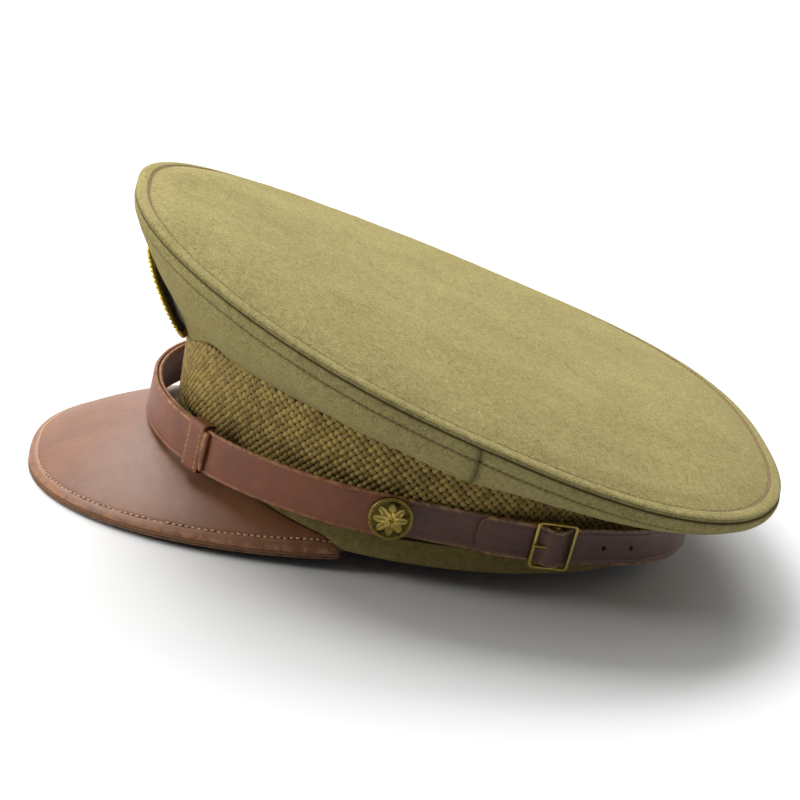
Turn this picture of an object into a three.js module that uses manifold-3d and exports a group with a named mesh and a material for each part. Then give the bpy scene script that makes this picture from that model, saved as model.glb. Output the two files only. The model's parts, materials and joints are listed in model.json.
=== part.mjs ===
// Officer's peaked cap: a stiffened band, a wide soft crown, a leather visor and two leather straps.
// Units are millimetres and +Z is up.  The visor points along -Y and the wearer's left is +X.
// The origin is the centre of the head opening, in the plane of the band's lower edge.

import * as THREE from 'three';
import { mergeVertices } from 'three/addons/utils/BufferGeometryUtils.js';
import Module from 'manifold-3d';

const wasm = await Module();
wasm.setup();

// ---------- Driving dimensions ----------

const GAP = 0.3; // clear space between neighbouring pieces
const RING_STEPS = 72; // facets round a full ring
const STEP = 360 / RING_STEPS;

// Band: an oval of layers.  Every layer is placed by how far it sits inside the braid's face.
const BAND_HALF_WIDTH = 84.5;
const BAND_HALF_LENGTH = 102;
const BRAID_THICKNESS = 1.4;
const STIFFENER_THICKNESS = 1.3;
const STIFFENER_INSET = BRAID_THICKNESS + GAP;
const BAND_HEIGHT = 42; // above the lower edge at the sides
const BAND_FRONT_RISE = 19; // how much higher the band stands at the front
const BAND_FRONT_DIP = 9; // notch in its top edge behind the badge, filled by the crown's cloth
const BAND_BACK_DROP = 7; // how much lower its top edge is at the back
const WELT_HEIGHT = 9.5; // cloth strip round the foot of the band
const WELT_THICKNESS = 1.3;
const WELT_PROUD = 0.2; // it stands this far outside the braid's face
const SWEATBAND_THICKNESS = 1.1;
const SWEATBAND_INSET = 5.4;
const SWEATBAND_HEIGHT = 38;
const SWEATBAND_LEAN = 3; // the top edge stands this much further in than the foot

// Visor: spans the front of the band between two ends placed by angle from the front centre.
const VISOR_END_ANGLE = 70;
const VISOR_TIP_Y = -157.5;
const VISOR_ROOT_RISE = 15.2; // the band's lower edge arches up over the visor
const VISOR_DROP = 5.2; // outer edge below the head opening plane
const VISOR_FLARE = 5.7; // how far the widest part passes the visor's ends
const VISOR_SQUARENESS = 0.83; // below 1 gives a fuller outline than an ellipse
const VISOR_BULGE = 3;
const VISOR_LAYERS = [
  { name: 'visor_top', thickness: 0.9, finish: 'visorLeather' },
  { name: 'visor_core', thickness: 0.9, finish: 'visorCore' },
  { name: 'visor_lining', thickness: 0.7, finish: 'visorLining' },
];
const VISOR_LAYER_GAP = 0.3;
const VISOR_STACK = 3.2; // room the three layers take below the band

// Crown: a full oval rim, high at the front and low at the back.
const CROWN_HALF_WIDTH = 123;
const CROWN_HALF_LENGTH = 134;
const CROWN_CENTRE_Y = 4.5;
const CROWN_EGG = 0.143; // narrows the front half and widens the back half
const CROWN_SQUARENESS = 0.835;
const CROWN_MEAN_HEIGHT = 68.8;
const CROWN_TILT = 36.1; // front rim above the mean height, back rim below it
const CROWN_SADDLE = 4; // front and back lifted, sides lowered
const CROWN_DOME = 5.2; // rise of the top panel above its rim
const CROWN_DOME_FRONT = 2.5; // extra rise towards the front
const CROWN_DOME_POWER = 3.4;
const CLOTH = 1.6; // wool cloth with its interlining
const PANEL_SEAM_ANGLE = 90; // side seams, measured from the front centre
const BELLY_DROP = 25.5; // how far the side panels hang below the rim at the sides
const BELLY_DROP_SWING = 13; // less at the front and the back
const GROMMET_RADIUS = 1.1;
const GROMMET_INSET = 4.4;
const LINING_THICKNESS = 0.8;
const LINING_DROP = 4.5; // below the top panel
const LINING_REACH = 0.64; // of the way to the rim at the sides
const LINING_REACH_SWING = 0.06; // further at the front, less at the back
const STAY_HALF_WIDTH = 7;
const STAY_THICKNESS = 0.8;

// Straps: both turn about the line through the two side buttons.
const PIVOT = { y: -19.5, z: 19.8 };
const CHIN = {
  halfWidth: 88.4, // from the middle of the cap to the strap at the button
  reach: 92.5, // from the pivot to the strap at the front centre
  squareness: 1,
  tilt: 3.5, // degrees, front end up
  direction: -1, // runs forward
  strapWidth: 17,
  thickness: 1.5,
};
const NAPE = {
  halfWidth: 86.4,
  reach: 128,
  squareness: 0.75,
  tilt: -4.5, // degrees, back end down
  direction: 1, // runs backward
  strapWidth: 15,
  thickness: 1.2,
};
const STRAP_TAB = 6.5; // length of strap past the button's axis
const LAYER_OFFSET = 0.9; // half the spacing of the chin strap's two layers
const KEEPER_ANGLE = 38; // from the front centre
const KEEPER_LENGTH = 9;
const KEEPER_THICKNESS = 1.1;
const KEEPER_CLEARANCE = 0.5;

// Buckle on the left side of the nape strap, in lengths along the strap from the left button.
const BUCKLE_AT = 62.5;
const BUCKLE_LENGTH = 16.8;
const BUCKLE_HEIGHT = 19.4;
const BUCKLE_WIRE = 1.5;
const BUCKLE_LIFT = 3.15; // frame's mid-plane above the strap's mid-surface
const TAIL_END = 33;
const TAIL_HOLES = [85, 98]; // the prong stands in a further, longer one at the buckle
const PRONG_HOLE_LEAD = 2.95; // that hole's distance in front of the middle bar
const PRONG_HOLE_RADIUS = 1.9;
const PRONG_WIDTH = 1.3;

// Side buttons.
const BUTTON_RADIUS = 8.4;
const BUTTON_FACE_X = 89.5; // back of the button's shell
const BUTTON_DEPTH = 3.2;
const POST_RADIUS = 1.3;
const BORE_RADIUS = 1.7;
const POST_END_X = 76.9;
const WASHER = { from: 78.4, to: 78.9, radius: 3.6 };
const NUT = { from: 77.1, to: 78.1, radius: 3 };

// Badge on the front of the crown, in a frame tilted to the front panel.
const BADGE = { y: -111.4, z: 66.5, lean: 30 };
const BADGE_HALF_HEIGHT = 20;
const BADGE_HALF_WIDTH = 21;
const BADGE_THICKNESS = 1.6;
const BADGE_POST_LENGTH = 9.8;
const BADGE_NUT = { from: 7.4, to: 9.2, radius: 5 }; // behind the badge's back
const LEAF_COUNT = 20;

// ---------- Materials ----------

const finish = (color, roughness, metalness) => ({ color, roughness, metalness });
const FINISHES = {
  woolTop: finish(0xa99f68, 0.95, 0),
  woolSide: finish(0x7d7142, 0.95, 0),
  braid: finish(0x7f6c38, 0.9, 0),
  welt: finish(0x4f4828, 0.95, 0),
  board: finish(0x8a7a5a, 0.9, 0),
  satin: finish(0x6b5a33, 0.5, 0),
  spring: finish(0x8b8b86, 0.4, 0.9),
  sweatLeather: finish(0x8a5a34, 0.6, 0),
  visorLeather: finish(0x7a4a36, 0.35, 0),
  visorCore: finish(0x6a4a2c, 0.85, 0),
  visorLining: finish(0x5b3a26, 0.6, 0),
  strapLeather: finish(0x5d3c2c, 0.45, 0),
  napeLeather: finish(0x4a3230, 0.45, 0),
  brass: finish(0x8f7a35, 0.35, 0.9),
  gilt: finish(0xb8952f, 0.3, 0.95),
  steel: finish(0x8c8c88, 0.4, 0.9),
};

// ---------- Small helpers ----------

const radians = THREE.MathUtils.degToRad;
const lerp = THREE.MathUtils.lerp;
const smooth = THREE.MathUtils.smoothstep;
const vec = (x, y, z) => new THREE.Vector3(x, y, z);
const signedPower = (value, power) => Math.sign(value) * Math.abs(value) ** power;

function range(start, end, steps) {
  return Array.from({ length: steps + 1 }, (_, i) => lerp(start, end, i / steps));
}

function ringAngles() {
  return Array.from({ length: RING_STEPS }, (_, i) => i * STEP);
}

// Volume enclosed by an indexed geometry, negative when its faces point inward.
function signedVolume(geometry) {
  const position = geometry.getAttribute('position');
  const index = geometry.getIndex().array;
  const [a, b, c] = [vec(), vec(), vec()];
  let total = 0;
  for (let i = 0; i < index.length; i += 3) {
    a.fromBufferAttribute(position, index[i]);
    b.fromBufferAttribute(position, index[i + 1]);
    c.fromBufferAttribute(position, index[i + 2]);
    total += a.dot(b.cross(c)) / 6;
  }
  return total;
}

// Joins equal corners and turns the faces outward.
function weld(geometry) {
  const bare = new THREE.BufferGeometry();
  bare.setAttribute('position', geometry.getAttribute('position').clone());
  if (geometry.getIndex()) {
    bare.setIndex(geometry.getIndex().clone());
  }
  const welded = mergeVertices(bare, 1e-4);
  const kept = [];
  const index = welded.getIndex().array;
  for (let i = 0; i < index.length; i += 3) {
    const [a, b, c] = [index[i], index[i + 1], index[i + 2]];
    if (a !== b && b !== c && c !== a) {
      kept.push(a, b, c);
    }
  }
  welded.setIndex(kept);
  if (signedVolume(welded) < 0) {
    for (let i = 0; i < kept.length; i += 3) {
      [kept[i], kept[i + 1]] = [kept[i + 1], kept[i]];
    }
    welded.setIndex(kept);
  }
  return welded;
}

// A closed solid between two matching grids of points.  Rows run round the piece and, when
// `closed` is set, the last row joins the first.  A row end that shrinks to one point is allowed.
function sheetSolid(outer, inner, closed) {
  const corners = [];
  const quad = (a, b, c, d) => {
    for (const point of [a, b, c, a, c, d]) {
      corners.push(point.x, point.y, point.z);
    }
  };
  const rows = outer.length;
  const columns = outer[0].length;
  const lastRow = closed ? rows : rows - 1;
  for (let i = 0; i < lastRow; i += 1) {
    const next = (i + 1) % rows;
    for (let j = 0; j < columns - 1; j += 1) {
      quad(outer[i][j], outer[next][j], outer[next][j + 1], outer[i][j + 1]);
      quad(inner[i][j], inner[i][j + 1], inner[next][j + 1], inner[next][j]);
    }
    const end = columns - 1;
    quad(outer[i][0], inner[i][0], inner[next][0], outer[next][0]);
    quad(outer[i][end], outer[next][end], inner[next][end], inner[i][end]);
  }
  if (!closed) {
    for (let j = 0; j < columns - 1; j += 1) {
      quad(outer[0][j], outer[0][j + 1], inner[0][j + 1], inner[0][j]);
      quad(outer[rows - 1][j], inner[rows - 1][j], inner[rows - 1][j + 1], outer[rows - 1][j + 1]);
    }
  }
  const geometry = new THREE.BufferGeometry();
  geometry.setAttribute('position', new THREE.Float32BufferAttribute(corners, 3));
  return weld(geometry);
}

function toManifold(geometry) {
  const welded = weld(geometry);
  return new wasm.Manifold(new wasm.Mesh({
    numProp: 3,
    vertProperties: new Float32Array(welded.getAttribute('position').array),
    triVerts: new Uint32Array(welded.getIndex().array),
  }));
}

function fromManifold(solid) {
  const mesh = solid.getMesh();
  const geometry = new THREE.BufferGeometry();
  geometry.setAttribute('position', new THREE.BufferAttribute(mesh.vertProperties, 3));
  geometry.setIndex(new THREE.BufferAttribute(mesh.triVerts, 1));
  return weld(geometry);
}

const cut = (geometry, ...tools) => fromManifold(
  tools.reduce((solid, tool) => solid.subtract(toManifold(tool)), toManifold(geometry)),
);

const join = (geometry, ...others) => fromManifold(
  others.reduce((solid, other) => solid.add(toManifold(other)), toManifold(geometry)),
);

// A rod or bore of the given radius between two points.
function rod(from, to, radius, sides = 20) {
  const along = to.clone().sub(from);
  const geometry = new THREE.CylinderGeometry(radius, radius, along.length(), sides);
  const turn = new THREE.Quaternion().setFromUnitVectors(vec(0, 1, 0), along.clone().normalize());
  geometry.applyQuaternion(turn);
  geometry.translate(...from.clone().add(to).multiplyScalar(0.5).toArray());
  return geometry;
}

const root = new THREE.Group();
root.name = 'peaked_cap';

function addPiece(name, geometry, look) {
  const solid = weld(geometry);
  solid.computeVertexNormals();
  const mesh = new THREE.Mesh(solid, new THREE.MeshStandardMaterial(look));
  mesh.name = name;
  root.add(mesh);
}

// ---------- Shape of the band ----------

// Point on the band oval, `inset` inside the braid's face; 0 degrees is the front centre.
function bandPoint(angle, inset, z) {
  const t = radians(angle);
  return vec(
    (BAND_HALF_WIDTH - inset) * Math.sin(t),
    -(BAND_HALF_LENGTH - inset) * Math.cos(t),
    z,
  );
}

const fromFront = (angle) => Math.abs(THREE.MathUtils.euclideanModulo(angle + 180, 360) - 180);

// How far into the visor's span an angle lies: 1 at the front centre and 0 from the ends back.
function visorShare(angle) {
  return Math.max(0, 1 - (fromFront(angle) / VISOR_END_ANGLE) ** 2);
}

function bandFoot(angle) {
  const share = visorShare(angle);
  return (VISOR_STACK + 0.2) * Math.min(1, share * 8) + VISOR_ROOT_RISE * share ** 1.4;
}

function frontDip(angle) {
  return BAND_FRONT_DIP * (1 - smooth(fromFront(angle), 8, 30));
}

function bandTop(angle) {
  const wave = Math.min(180, fromFront(angle) * 1.6);
  const backward = smooth(fromFront(angle), 90, 150);
  return BAND_HEIGHT + BAND_FRONT_RISE * (1 + Math.cos(radians(wave))) / 2
    - BAND_BACK_DROP * backward - frontDip(angle);
}

// An upright layer of the band between two heights, each given as a function of the angle.
function bandLayer(inset, thickness, foot, top, rows = 1) {
  const side = (depth) => ringAngles().map((angle) => range(0, 1, rows).map(
    (share) => bandPoint(angle, depth, lerp(foot(angle), top(angle), share)),
  ));
  return sheetSolid(side(inset), side(inset + thickness), true);
}

function addBand() {
  const postBores = [sideBore(1), sideBore(-1)];
  const braid = bandLayer(0, BRAID_THICKNESS, (a) => bandFoot(a) + WELT_HEIGHT + GAP, bandTop, 2);
  addPiece('braid_band', cut(braid, ...postBores), FINISHES.braid);
  const welt = bandLayer(
    -WELT_PROUD,
    WELT_THICKNESS + WELT_PROUD,
    bandFoot,
    (a) => bandFoot(a) + WELT_HEIGHT,
    2,
  );
  addPiece('bottom_welt', welt, FINISHES.welt);
  const stiffener = bandLayer(
    STIFFENER_INSET,
    STIFFENER_THICKNESS,
    bandFoot,
    (a) => bandTop(a) - 1,
    2,
  );
  addPiece('band_stiffener', cut(stiffener, ...postBores), FINISHES.board);
  addPiece('sweatband', sweatbandSolid(), FINISHES.sweatLeather);
}

function sweatbandSolid() {
  const side = (depth) => ringAngles().map((angle) => range(0, 1, 3).map((share) => {
    const foot = bandFoot(angle) - VISOR_STACK * Math.min(1, visorShare(angle) * 8);
    const inset = SWEATBAND_INSET + depth + SWEATBAND_LEAN * share;
    return bandPoint(angle, inset, foot + SWEATBAND_HEIGHT * share);
  }));
  return sheetSolid(side(0), side(SWEATBAND_THICKNESS), true);
}

// ---------- Shape of the crown ----------

// Point on the top panel; `share` is 0 at the crown's middle and 1 at the rim.
function crownTopPoint(share, angle) {
  const t = radians(angle);
  const across = signedPower(Math.sin(t), CROWN_SQUARENESS);
  const along = signedPower(Math.cos(t), CROWN_SQUARENESS);
  const rise = CROWN_DOME + CROWN_DOME_FRONT * share * Math.cos(t);
  return vec(
    share * CROWN_HALF_WIDTH * (1 - CROWN_EGG * share * Math.cos(t)) * across,
    CROWN_CENTRE_Y - share * CROWN_HALF_LENGTH * along,
    CROWN_MEAN_HEIGHT + CROWN_TILT * share * along + CROWN_SADDLE * share ** 2 * Math.cos(2 * t)
      + rise * (1 - share ** CROWN_DOME_POWER),
  );
}

// Cross-section of the side panels at one angle, from the band (0) to the rim (1), set
// `depth` inside the cloth's face.  It leaves the band outward, sags and climbs to the rim.
function panelPoint(angle, share, depth) {
  const foot = bandPoint(angle, 0, bandTop(angle));
  const rim = crownTopPoint(1, angle);
  rim.z -= CLOTH + GAP + 0.2;
  const outward = vec(rim.x - foot.x, rim.y - foot.y, 0);
  const overhang = outward.length();
  outward.normalize();
  const facing = Math.cos(radians(angle));
  const shoulder = foot.z + frontDip(angle) + 4 + 11 * Math.max(0, facing) ** 2;
  const lift = BELLY_DROP_SWING * Math.abs(facing) ** (facing > 0 ? 1 : 0.6);
  const control = [
    new THREE.Vector2(-1.5, foot.z + GAP + CLOTH),
    new THREE.Vector2(10 + 2 * facing, shoulder),
    new THREE.Vector2(overhang, rim.z - BELLY_DROP + lift),
    new THREE.Vector2(overhang, rim.z),
  ];
  const curve = new THREE.CubicBezierCurve(...control);
  const point = curve.getPoint(share);
  const tangent = curve.getTangent(share);
  point.x -= tangent.y * depth;
  point.y += tangent.x * depth;
  return vec(foot.x + outward.x * point.x, foot.y + outward.y * point.x, point.y);
}

function panelSolid(fromAngle, toAngle, tools = []) {
  const steps = Math.round((toAngle - fromAngle) / STEP);
  const angles = range(fromAngle, toAngle, steps);
  const seamShift = (i) => (i === 0 ? GAP / 2 : 0) - (i === steps ? GAP / 2 : 0);
  const side = (depth) => angles.map((angle, i) => {
    const roundRing = vec(Math.cos(radians(angle)), Math.sin(radians(angle)), 0);
    return range(0, 1, 9).map(
      (share) => panelPoint(angle, share, depth).addScaledVector(roundRing, seamShift(i)),
    );
  });
  return cut(sheetSolid(side(0), side(CLOTH), false), ...tools);
}

function crownTopSolid() {
  const shares = [0, 0.3, 0.55, 0.75, 0.9, 0.97, 1];
  const outer = ringAngles().map((angle) => shares.map((share) => crownTopPoint(share, angle)));
  const inner = outer.map((row) => row.map((point) => vec(point.x, point.y, point.z - CLOTH)));
  return sheetSolid(outer, inner, true);
}

// A round ring just inside the rim.
function grommetSolid() {
  const sides = 8;
  const loop = (angle) => range(0, 360, sides).slice(0, sides).map((turn) => {
    const rim = crownTopPoint(1, angle);
    const inward = vec(-rim.x, CROWN_CENTRE_Y - rim.y, 0).normalize();
    const reach = GROMMET_INSET + GROMMET_RADIUS * Math.cos(radians(turn));
    const lift = GROMMET_RADIUS * Math.sin(radians(turn)) - CLOTH - GROMMET_RADIUS - 0.9;
    return vec(rim.x + inward.x * reach, rim.y + inward.y * reach, rim.z + lift);
  });
  const loops = ringAngles().map(loop);
  const half = sides / 2;
  const upper = loops.map((points) => points.slice(0, half + 1));
  const lower = loops.map((points) => [
    points[0], ...points.slice(half + 1).reverse(), points[half],
  ]);
  return sheetSolid(upper, lower, true);
}

// One loose bag: across under the top panel, down to the band and inside its top edge.
function liningSolid() {
  const sideShares = [0.33, 0.67, 1];
  const surface = (depth) => ringAngles().map((angle) => {
    const facing = Math.cos(radians(angle));
    const reach = LINING_REACH + LINING_REACH_SWING * facing - depth / CROWN_HALF_LENGTH;
    const top = range(0, reach, 3).map((share) => {
      const point = crownTopPoint(share, angle);
      return vec(point.x, point.y, point.z - CLOTH - LINING_DROP - depth);
    });
    const edge = top[top.length - 1];
    const clear = 3 * Math.max(0, facing); // room for the badge's nut
    const inset = STIFFENER_INSET + STIFFENER_THICKNESS + GAP + clear + depth;
    const shoulder = bandPoint(angle, inset, bandTop(angle) + 5.5 - depth);
    const foot = bandPoint(angle, inset, bandTop(angle) - 5);
    return [...top, ...sideShares.map((share) => edge.clone().lerp(shoulder, share)), foot];
  });
  return sheetSolid(surface(0), surface(LINING_THICKNESS), true);
}

// A springy strip up the inside of the front panel, from the band to the rim ring.
function staySolid() {
  const depthOut = CLOTH + 0.6;
  const side = (depth) => range(0.12, 0.84, 10).map((share) => {
    const middle = panelPoint(0, share, depth);
    return [-1, 1].map((hand) => vec(hand * STAY_HALF_WIDTH, middle.y, middle.z));
  });
  return sheetSolid(side(depthOut), side(depthOut + STAY_THICKNESS), false);
}

function addCrown() {
  const badgeBore = rod(badgePoint(0, 0, 2), badgePoint(0, 0, -24), BORE_RADIUS);
  addPiece('crown_top', crownTopSolid(), FINISHES.woolTop);
  addPiece(
    'crown_front_panel',
    panelSolid(-PANEL_SEAM_ANGLE, PANEL_SEAM_ANGLE, [badgeBore]),
    FINISHES.woolSide,
  );
  addPiece('crown_left_quarter', panelSolid(PANEL_SEAM_ANGLE, 180), FINISHES.woolSide);
  addPiece('crown_right_quarter', panelSolid(180, 360 - PANEL_SEAM_ANGLE), FINISHES.woolSide);
  addPiece('crown_lining', liningSolid(), FINISHES.satin);
  addPiece('crown_grommet', grommetSolid(), FINISHES.spring);
  addPiece('front_stay', cut(staySolid(), badgeBore), FINISHES.spring);
}

// ---------- Visor ----------

function visorOuterEdge(angle) {
  const u = radians(angle * 90 / VISOR_END_ANGLE);
  const end = bandPoint(VISOR_END_ANGLE, 0, 0);
  const across = signedPower(Math.sin(u), VISOR_SQUARENESS);
  const along = Math.max(0, Math.cos(u)) ** VISOR_SQUARENESS;
  const flare = VISOR_FLARE * Math.max(0, Math.cos(u)) ** 0.4;
  return vec(
    (end.x + 0.6 + flare) * across,
    end.y + (VISOR_TIP_Y - end.y) * along,
    -GAP - VISOR_DROP * Math.max(0, Math.cos(u)) ** 0.6,
  );
}

// Rows run along the visor; columns start under the band and end at the outer edge.
function visorGrid(depth) {
  const angles = range(-VISOR_END_ANGLE, VISOR_END_ANGLE, 2 * VISOR_END_ANGLE / STEP);
  return angles.map((angle) => {
    const level = bandFoot(angle) - GAP;
    const tucked = bandPoint(angle, SWEATBAND_INSET - 0.4, level - depth);
    const rootPoint = bandPoint(angle, -0.4, level);
    const edge = visorOuterEdge(angle);
    const width = rootPoint.distanceTo(edge) / (-VISOR_TIP_Y - BAND_HALF_LENGTH);
    const slope = range(0, 1, 6).map((share) => {
      const point = rootPoint.clone().lerp(edge, share);
      point.z += VISOR_BULGE * width * 4 * share * (1 - share) - depth;
      return point;
    });
    return [tucked, ...slope];
  });
}

function addVisor() {
  let depth = 0;
  for (const layer of VISOR_LAYERS) {
    const solid = sheetSolid(visorGrid(depth), visorGrid(depth + layer.thickness), false);
    addPiece(layer.name, solid, FINISHES[layer.finish]);
    depth += layer.thickness + VISOR_LAYER_GAP;
  }
}

// ---------- Straps ----------

// The middle line of a strap, as a table of points by length from the left button round to the
// right one, with the outward direction and the strap's own "up" at each point.
function strapLine(strap) {
  const tilt = radians(strap.tilt);
  const forward = vec(0, strap.direction * Math.cos(tilt), Math.sin(tilt));
  const up = vec(strap.direction, 0, 0).cross(forward);
  const points = range(0, 180, 720).map((turn) => {
    const t = radians(turn);
    const across = strap.halfWidth * signedPower(Math.cos(t), strap.squareness);
    const along = strap.reach * Math.sin(t) ** strap.squareness;
    return vec(across, PIVOT.y, PIVOT.z).addScaledVector(forward, along);
  });
  const lengths = [0];
  for (let i = 1; i < points.length; i += 1) {
    lengths.push(lengths[i - 1] + points[i].distanceTo(points[i - 1]));
  }
  return { points, lengths, up, forward, total: lengths[lengths.length - 1] };
}

const CHIN_LINE = strapLine(CHIN);
const NAPE_LINE = strapLine(NAPE);

// Frame on a strap line: its point, direction of travel, outward normal and up, at a length.
// Lengths outside the line run straight on past the buttons.
function strapFrame(line, length) {
  const clamped = Math.min(Math.max(length, 0), line.total);
  let i = line.lengths.findIndex((value) => value >= clamped);
  i = Math.min(Math.max(i, 1), line.points.length - 1);
  const share = (clamped - line.lengths[i - 1]) / (line.lengths[i] - line.lengths[i - 1]);
  const point = line.points[i - 1].clone().lerp(line.points[i], share);
  const travel = line.points[i].clone().sub(line.points[i - 1]).normalize();
  if (length < 0) {
    travel.copy(line.forward);
  }
  if (length > line.total) {
    travel.copy(line.forward).negate();
  }
  point.addScaledVector(travel, length - clamped);
  const outward = travel.clone().cross(line.up).normalize();
  if (outward.dot(vec(point.x, point.y - PIVOT.y, 0)) < 0) {
    outward.negate();
  }
  return { point, travel, outward, up: line.up };
}

// A point near the strap: `length` along it, `lift` outward and `rise` up from its middle line.
function onStrap(line, length, lift, rise) {
  const frame = strapFrame(line, length);
  return frame.point.clone().addScaledVector(frame.outward, lift).addScaledVector(frame.up, rise);
}

// A flat strip following a list of {length, lift} stations on a strap line.
function strapSolid(line, stations, width, thickness) {
  const flat = stations.map(({ length, lift }) => new THREE.Vector2(length, lift));
  const normals = flat.map((_, i) => {
    const before = flat[Math.max(0, i - 1)];
    const after = flat[Math.min(flat.length - 1, i + 1)];
    const along = after.clone().sub(before).normalize();
    return new THREE.Vector2(-along.y, along.x);
  });
  const side = (offset) => flat.map((station, i) => {
    const half = (stations[i].halfWidth ?? width / 2);
    return [-half, half].map((rise) => onStrap(
      line,
      station.x + normals[i].x * offset,
      station.y + normals[i].y * offset,
      rise,
    ));
  });
  return sheetSolid(side(thickness / 2), side(-thickness / 2), false);
}

// Stations of the rounded tab past a button, narrowing to its end.
function tabStations(buttonLength, outwardSign, width) {
  const radius = width / 2;
  return [75, 50, 25, 0].map((turn) => ({
    length: buttonLength + outwardSign * (STRAP_TAB - 3 + 3 * Math.sin(radians(turn))),
    lift: 0,
    halfWidth: radius * (0.62 + 0.38 * Math.cos(radians(turn))),
  }));
}

function buttonBore(x) {
  return rod(vec(x, PIVOT.y, PIVOT.z), vec(Math.sign(x) * 60, PIVOT.y, PIVOT.z), BORE_RADIUS);
}

function sideBore(hand) {
  return buttonBore(hand * 100);
}

// Each half of the chin strap runs from its own button past the front to the far keeper.
// The left half lies outside the right half where they overlap.
function chinStrapSolid(hand) {
  const far = CHIN_LINE.total / 2 + chinKeeperLength() + KEEPER_LENGTH / 2 + 1;
  const near = CHIN_LINE.total / 2 - chinKeeperLength();
  const body = range(0, far, 40).map((length) => ({
    length,
    lift: hand * LAYER_OFFSET * smooth(length, near - 40, near - 12),
  }));
  const stations = [...tabStations(0, -1, CHIN.strapWidth), ...body];
  const placed = hand > 0 ? stations : stations.map((station) => ({
    ...station,
    length: CHIN_LINE.total - station.length,
  }));
  const strip = strapSolid(CHIN_LINE, placed, CHIN.strapWidth, CHIN.thickness);
  return cut(strip, sideBore(hand));
}

// Length along the chin strap from its front centre to a keeper's middle.
function chinKeeperLength() {
  const target = -Math.cos(radians(KEEPER_ANGLE)) * CHIN.reach + PIVOT.y;
  const middle = CHIN_LINE.total / 2;
  let length = 0;
  while (strapFrame(CHIN_LINE, middle - length).point.y < target) {
    length += 0.5;
  }
  return length;
}

// A closed leather loop round both layers of the chin strap.
function keeperSolid(hand) {
  const middle = CHIN_LINE.total / 2 - hand * chinKeeperLength();
  const halfRise = CHIN.strapWidth / 2 + KEEPER_CLEARANCE;
  const halfLift = LAYER_OFFSET + CHIN.thickness / 2 + KEEPER_CLEARANCE;
  const loop = (grow, length) => roundedLoop(halfLift + grow, halfRise + grow, 0.7 + grow)
    .map(([lift, rise]) => onStrap(CHIN_LINE, length, lift, rise));
  const lengths = range(middle - KEEPER_LENGTH / 2, middle + KEEPER_LENGTH / 2, 3);
  const transpose = (grid) => grid[0].map((_, j) => grid.map((row) => row[j]));
  const outer = transpose(lengths.map((length) => loop(KEEPER_THICKNESS, length)));
  const inner = transpose(lengths.map((length) => loop(0, length)));
  return sheetSolid(outer, inner, true);
}

// Corners of a rectangle with rounded corners, going once round.
function roundedLoop(halfA, halfB, radius) {
  const corners = [[1, 1, 0], [-1, 1, 90], [-1, -1, 180], [1, -1, 270]];
  return corners.flatMap(([a, b, start]) => [0, 45, 90].map((turn) => [
    a * (halfA - radius) + radius * Math.cos(radians(start + turn)),
    b * (halfB - radius) + radius * Math.sin(radians(start + turn)),
  ]));
}

function addChinStrap() {
  addPiece('chin_strap_left', chinStrapSolid(1), FINISHES.strapLeather);
  addPiece('chin_strap_right', chinStrapSolid(-1), FINISHES.strapLeather);
  addPiece('keeper_left', keeperSolid(1), FINISHES.strapLeather);
  addPiece('keeper_right', keeperSolid(-1), FINISHES.strapLeather);
}

// ---------- Nape strap and buckle ----------

// Short left part: from the button under the frame's front bar, then curled round the
// middle bar, with a slot for the prong.
function napeShortSolid() {
  const curl = BUCKLE_WIRE / 2 + GAP + NAPE.thickness / 2;
  const dip = BUCKLE_LIFT - curl - NAPE.thickness - GAP;
  const run = range(0, BUCKLE_AT - 12, 10).map((length) => ({
    length,
    lift: dip * smooth(length, 10, TAIL_END - 4),
  }));
  const rise = [
    { length: BUCKLE_AT - 5.2, lift: dip },
    { length: BUCKLE_AT - 3.8, lift: lerp(dip, BUCKLE_LIFT - curl, 0.25) },
    { length: BUCKLE_AT - 2, lift: lerp(dip, BUCKLE_LIFT - curl, 0.85) },
  ];
  const wrap = range(-90, 140, 10).map((turn) => ({
    length: BUCKLE_AT + curl * Math.cos(radians(turn)),
    lift: BUCKLE_LIFT + curl * Math.sin(radians(turn)),
  }));
  const stations = [...tabStations(0, -1, NAPE.strapWidth), ...run, ...rise, ...wrap];
  const strip = strapSolid(NAPE_LINE, stations, NAPE.strapWidth, NAPE.thickness);
  return cut(strip, sideBore(1), buckleBox(7.2, 9, PRONG_WIDTH + 2 * GAP + 0.4, 0.8));
}

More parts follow.
